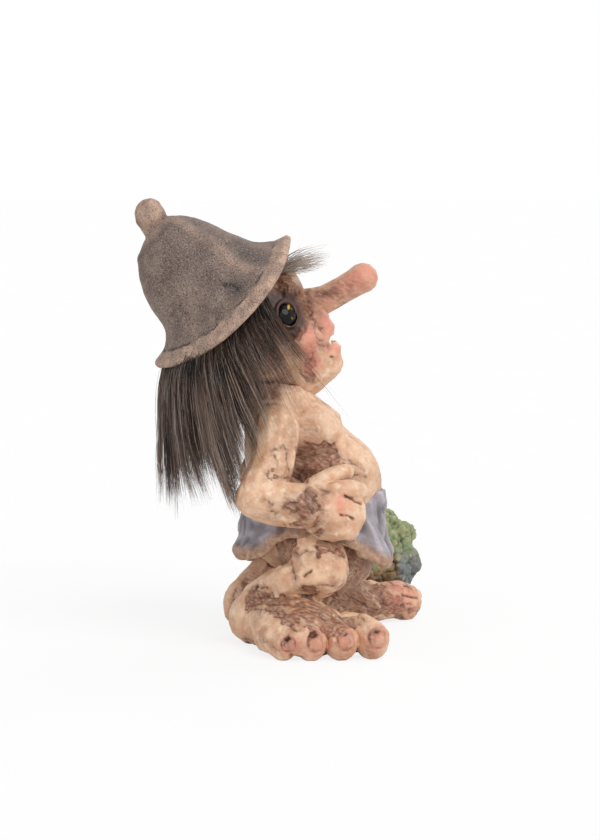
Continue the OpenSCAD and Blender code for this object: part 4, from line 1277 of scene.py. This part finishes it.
def lifted(strands, tree, gap, first=2):
    """Moves strand points that lie inside a piece out to its surface."""
    for strand in strands:
        for k in range(first, len(strand)):
            place, normal = tree.find_nearest(Vector(strand[k]), 6)[:2]
            if place is not None:
                out = (Vector(strand[k]) - place).dot(normal)
                if out < gap:
                    strand[k] = place + normal * gap
    return strands


def strand_piece(name, strands, thick, tone, material):
    """One piece of thin tapered curves, with a tone for each strand on its points."""
    count, places = strands.shape[:2]
    curve = bpy.data.curves.new(name, "CURVE")
    curve.dimensions = "3D"
    curve.bevel_depth = MM
    curve.bevel_resolution = 0
    curve.use_fill_caps = False
    taper = np.interp(np.linspace(0, 1, places), [0, 0.6, 1], [1, 0.9, 0.12])
    for strand, radius in zip(strands * MM, thick):
        spline = curve.splines.new("POLY")
        spline.points.add(places - 1)
        spline.points.foreach_set("co", np.column_stack([strand, np.ones(places)]).ravel())
        spline.points.foreach_set("radius", radius * taper)
    grown = placed(name + "_curves", curve)
    mesh = bpy.data.meshes.new_from_object(
        grown.evaluated_get(bpy.context.evaluated_depsgraph_get()))
    bpy.data.objects.remove(grown)
    mesh.name = name
    per_place = len(mesh.vertices) // (count * places)
    for key, values in tone.items():
        attribute = mesh.attributes.new(key, "FLOAT", "POINT")
        full = np.broadcast_to(values, (count, places)) if values.ndim == 2 else (
            np.repeat(values[:, None], places, 1))
        attribute.data.foreach_set("value", np.repeat(full.ravel(), per_place)
                                   .clip(0, 1).astype(np.float32))
    mesh.shade_smooth()
    print(name, count, "strands,", len(mesh.polygons) * 2, "triangles")
    return settle(placed(name, mesh), material, "fur")


# %% [markdown]
# A comb draws strands at random between two guides and gathers them in locks. The back hangs
# in three long tips, and in front of the ear most strands are short. The tones are chosen for
# each lock and strand: dark at the root, which also paints the shade under the brim, paler to
# the tip, with some brown and some grey.

# %% Comb locks
PLACES = 8
TIPS = (0.1, 1.05, 2.05)
EAR = 2.5
body_tree = solid_tree(torso.piece, head.piece, *(bpy.data.objects[n] for n in (
    "carved_right_arm", "carved_left_arm")))


def fur_reach(g, draw):
    """How far along its guide a strand at place g reaches: three long tips, a short front."""
    tip = np.max([fade(g - place, 0.16) for place in TIPS], 0)
    back = 0.80 + 0.2 * tip + draw.normal(0, 0.03, len(g))
    long_one = draw.uniform(0, 1, len(g)) < np.interp(g, [2.7, 3.1, 3.4], [1, 0.25, 0.05])
    front = np.where(long_one, draw.uniform(0.75, 1.0, len(g)), draw.uniform(0.3, 0.62, len(g)))
    return np.where(g < EAR, back, front)


def comb(count, seed, low, high, depth, locks, start=(0.0, 0.35), wild=0.7, lean=1.0, curl=0.0,
         reach=None, bend=1.6):
    """Strands between guides low and high, gathered in locks that end in points."""
    draw = np.random.default_rng(seed)
    lock_g = low + (high - low) * draw.uniform(0, 1, locks) ** lean
    lock_depth = draw.uniform(*depth, locks)
    lock_bend = draw.normal(0, bend, (locks, 1, 3))
    g = low + (high - low) * draw.uniform(0, 1, count) ** lean
    lock = np.abs(g[:, None] + draw.normal(0, 0.05, (count, 1)) - lock_g[None, :]).argmin(1)
    begin = draw.uniform(*start, count) ** 1.3
    full = fur_reach(lock_g[lock], draw) if reach is None else draw.uniform(*reach, count)
    full = np.maximum(full * draw.uniform(0.82, 1.0, count) ** 1.5, begin + 0.15)
    own_way = falls(g, draw.uniform(*depth, count), begin, full, PLACES)
    lock_way = falls(lock_g[lock], lock_depth[lock], begin, full, PLACES)
    t = (begin[:, None] + (full - begin)[:, None] * np.linspace(0, 1, PLACES))[:, :, None]
    gather = draw.uniform(0.55, 0.97, count)[:, None, None] * np.clip((t - 0.1) / 0.75, 0, 1)
    strands = own_way * (1 - gather) + lock_way * gather
    sway = np.stack([grain(strands.reshape(-1, 3) + 40 * k, 11, seed + k)
                     for k in range(3)], 1).reshape(strands.shape)
    stray = draw.normal(0, 1, (count, 1, 3)) * wild
    turns = draw.uniform(0, 6.28, (count, 1, 3)) + draw.uniform(4, 11, (count, 1, 1)) * t
    strands = (strands + (1.5 * sway + lock_bend[lock]) * t + stray * (0.15 + t**2)
               + curl * np.sin(turns))
    return strands, t[:, :, 0], lock, draw


def comb_piece(name, side, count, seed, low, high, depth, thin=(0.07, 0.15), brown=0.25,
               light=0.13, dark=(0.0, 1.0), **ways):
    """One piece of the wig: its strands, lifted off the body, with their tones."""
    strands, t, lock, draw = comb(count, seed, low, high, depth, **ways)
    if side == "left":
        strands[:, :, 0] *= -1
    strands = lifted(strands - np.array(MIDDLE), body_tree, 0.35)
    of_lock = draw.uniform(0, 1, lock.max() + 1)
    pale = draw.uniform(0, 1, count) < light
    darkness = dark[0] + (dark[1] - dark[0]) * of_lock[lock] + draw.normal(0, 0.16, count)
    # Dark for each lock at random, and darker towards the root, partly as painted shade under the
    # brim.
    tone = {"along": t + (0.25 * (0.5 - of_lock[lock]) + draw.normal(0, 0.1, count))[:, None],
            "dark": np.where(pale, 0, darkness)[:, None] + np.clip(1 - t / 0.4, 0, 1)
            * np.where(pale, 0.2, 1)[:, None],
            "brown": (draw.uniform(0, 1, count) ** 2 * brown * 2.4)[:, None]
            * np.clip(0.2 + 1.6 * t, 0, 1),
            "grey": np.where(pale, draw.uniform(0.4, 0.95, count), 0)[:, None]
            * np.clip(0.12 + 1.9 * t, 0, 1)}
    radii = draw.uniform(*thin, count) * np.where(pale, 0.7, 1)
    return strand_piece(name, strands, radii, tone, FUR)


# %% Comb the wig
for number, side in enumerate(SIDES):
    seed = 100 + 50 * number
    # The deep fur is near black: painted shade inside the wig.
    comb_piece(side + "_deep_fur", side, 1000, seed + 5, 0.0, 3.6, (0.1, 0.26), start=(0, 0.2),
               locks=50, thin=(0.22, 0.4), light=0, dark=(0.85, 1.0), reach=(0.55, 0.88), lean=1.3)
    comb_piece(side + "_fur_back", side, 3200, seed, 0.0, 2.25, (0.0, 0.12), locks=64, bend=2.0,
               lean=1.1)
    comb_piece(side + "_fur_side", side, 2500, seed + 10, 1.7, 3.5, (0.0, 0.12), start=(0, 0.3),
               locks=56, brown=0.35, bend=2.4, wild=0.9)
    comb_piece(side + "_fur_front", side, 1000, seed + 15, 3.2, 4.5, (-0.02, 0.1), locks=46,
               thin=(0.06, 0.12), brown=0.5, light=0.12, reach=(0.3, 0.62))
    comb_piece(side + "_fur_temple", side, 460, seed + 20, 3.2, 5.0, (-0.04, 0.04), locks=120,
               thin=(0.04, 0.085), brown=0.7, start=(0, 0.45), reach=(0.6, 1.0), wild=1.5,
               dark=(0.0, 0.8), bend=2.6)
    comb_piece(side + "_crimped_fur", side, 900, seed + 25, 1.6, 4.7, (-0.08, 0.01), wild=2.6,
               start=(0.0, 0.25), locks=140, thin=(0.045, 0.08), light=0.22, curl=1.1,
               reach=(0.25, 0.6), brown=0.35, dark=(0.6, 1.1))
    comb_piece(side + "_stray_hairs", side, 240, seed + 30, 0.0, 4.4, (-0.04, 0.01), wild=2.4,
               locks=90, thin=(0.045, 0.08), light=0.45, curl=0.4, bend=3.0)

# %% [markdown]
# ## The forelock
#
# A small brush of grey fur sticks out under the front of the hat. Its strands start together
# and fan out over the nose.

# %% Forelock
FORELOCK_ROOT, ROOT_SPREAD = (0, -0.2, 127.0), (3.6, 0.7, 1.2)
draw = np.random.default_rng(7)
count = 160
root = np.stack([place + draw.normal(0, spread, count)
                 for place, spread in zip(FORELOCK_ROOT, ROOT_SPREAD)], 1)
far = draw.uniform(0, 1, count) ** 0.8
spread = np.stack([root[:, 0] * 0.35 + draw.normal(0, 1.6, count), -5 - 12.5 * far,
                   draw.normal(1.6, 2.0, count) + 3.0 * far], 1)
t = np.linspace(0, 1, 6)
fan = root[:, None, :] + spread[:, None, :] * t[None, :, None]
fan[:, :, 2] += draw.normal(0.4, 0.9, count)[:, None] * np.sin(t * math.pi)[None, :]
fan = lifted(fan - np.array(MIDDLE), solid_tree(head.piece), 0.3, first=1)
forelock = strand_piece("forelock_fur", fan, draw.uniform(0.045, 0.085, count),
                        {"along": np.repeat(0.4 + 0.6 * t[None, :], count, 0),
                         "dark": draw.uniform(0, 0.45, count) ** 2,
                         "grey": draw.uniform(0.2, 0.95, count)}, FUR)
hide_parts("forelock")

# %% [markdown]
# ## Floor and light
#
# The figure stands on a white sweep under soft studio lamps. Three suns with wide discs and
# an even sky give soft shadows that stay the same from every side. The sky is plain white
# where the camera or a reflection looks straight at it, and dimmer as a light.

# %% Floor, lamps and sky
def sweep_paint():
    material, tree, shader, where = new_material("white_paper_sweep")
    tone = speck(tree, where, 60)
    base = painted(tree, colour("#F7F7F7"), colour("#F3F3F3"), tone)
    plug(tree, shader, {"Base Color": base, "Roughness": 0.9})
    path = add(tree, "ShaderNodeLightPath")
    glow = add(tree, "ShaderNodeEmission", {"Color": (1, 1, 1, 1), "Strength": 1.0})
    seen_by = merged(tree, path.outputs["Is Camera Ray"], 0.82)
    mix = add(tree, "ShaderNodeMixShader", {0: seen_by, 1: shader.outputs[0],
                                            2: glow.outputs[0]})
    output = next(node for node in tree.nodes if node.type == "OUTPUT_MATERIAL")
    tree.links.new(mix.outputs[0], output.inputs["Surface"])
    return material


ground = bmesh.new()
bmesh.ops.create_grid(ground, x_segments=1, y_segments=1, size=4)
sheet = bpy.data.meshes.new("paper_sweep")
ground.to_mesh(sheet)
ground.free()
sheet.materials.append(sweep_paint())
placed("paper_sweep", sheet)

# Each lamp: the way towards it, its strength and the width of its disc in degrees.
LAMPS = {"key": ((-0.65, -0.45, 0.8), 1.7, 45), "fill": ((-0.8, 0.55, 0.35), 0.45, 80),
         "rim": ((0.7, -0.5, 0.6), 0.5, 50)}
for name, (towards, strength, width) in LAMPS.items():
    lamp = bpy.data.lights.new(name + "_lamp", "SUN")
    lamp.energy = strength
    lamp.angle = math.radians(width)
    holder = placed(name + "_lamp", lamp)
    holder.rotation_euler = Vector(towards).to_track_quat("Z", "Y").to_euler()

sky = bpy.data.worlds.new("studio_sky")
bpy.context.scene.world = sky
sky.use_nodes = True
tree = sky.node_tree
tree.nodes.clear()
path = add(tree, "ShaderNodeLightPath")
direct = merged(tree, path.outputs["Is Camera Ray"], path.outputs["Is Glossy Ray"], "ADD")
dim = add(tree, "ShaderNodeBackground", {"Color": (1, 1, 1, 1), "Strength": 0.5})
white = add(tree, "ShaderNodeBackground", {"Color": (1, 1, 1, 1), "Strength": 1.0})
mix = add(tree, "ShaderNodeMixShader", {0: direct, 1: dim.outputs[0], 2: white.outputs[0]})
add(tree, "ShaderNodeOutputWorld", {"Surface": mix.outputs[0]})
bpy.context.scene.view_settings.view_transform = "Standard"
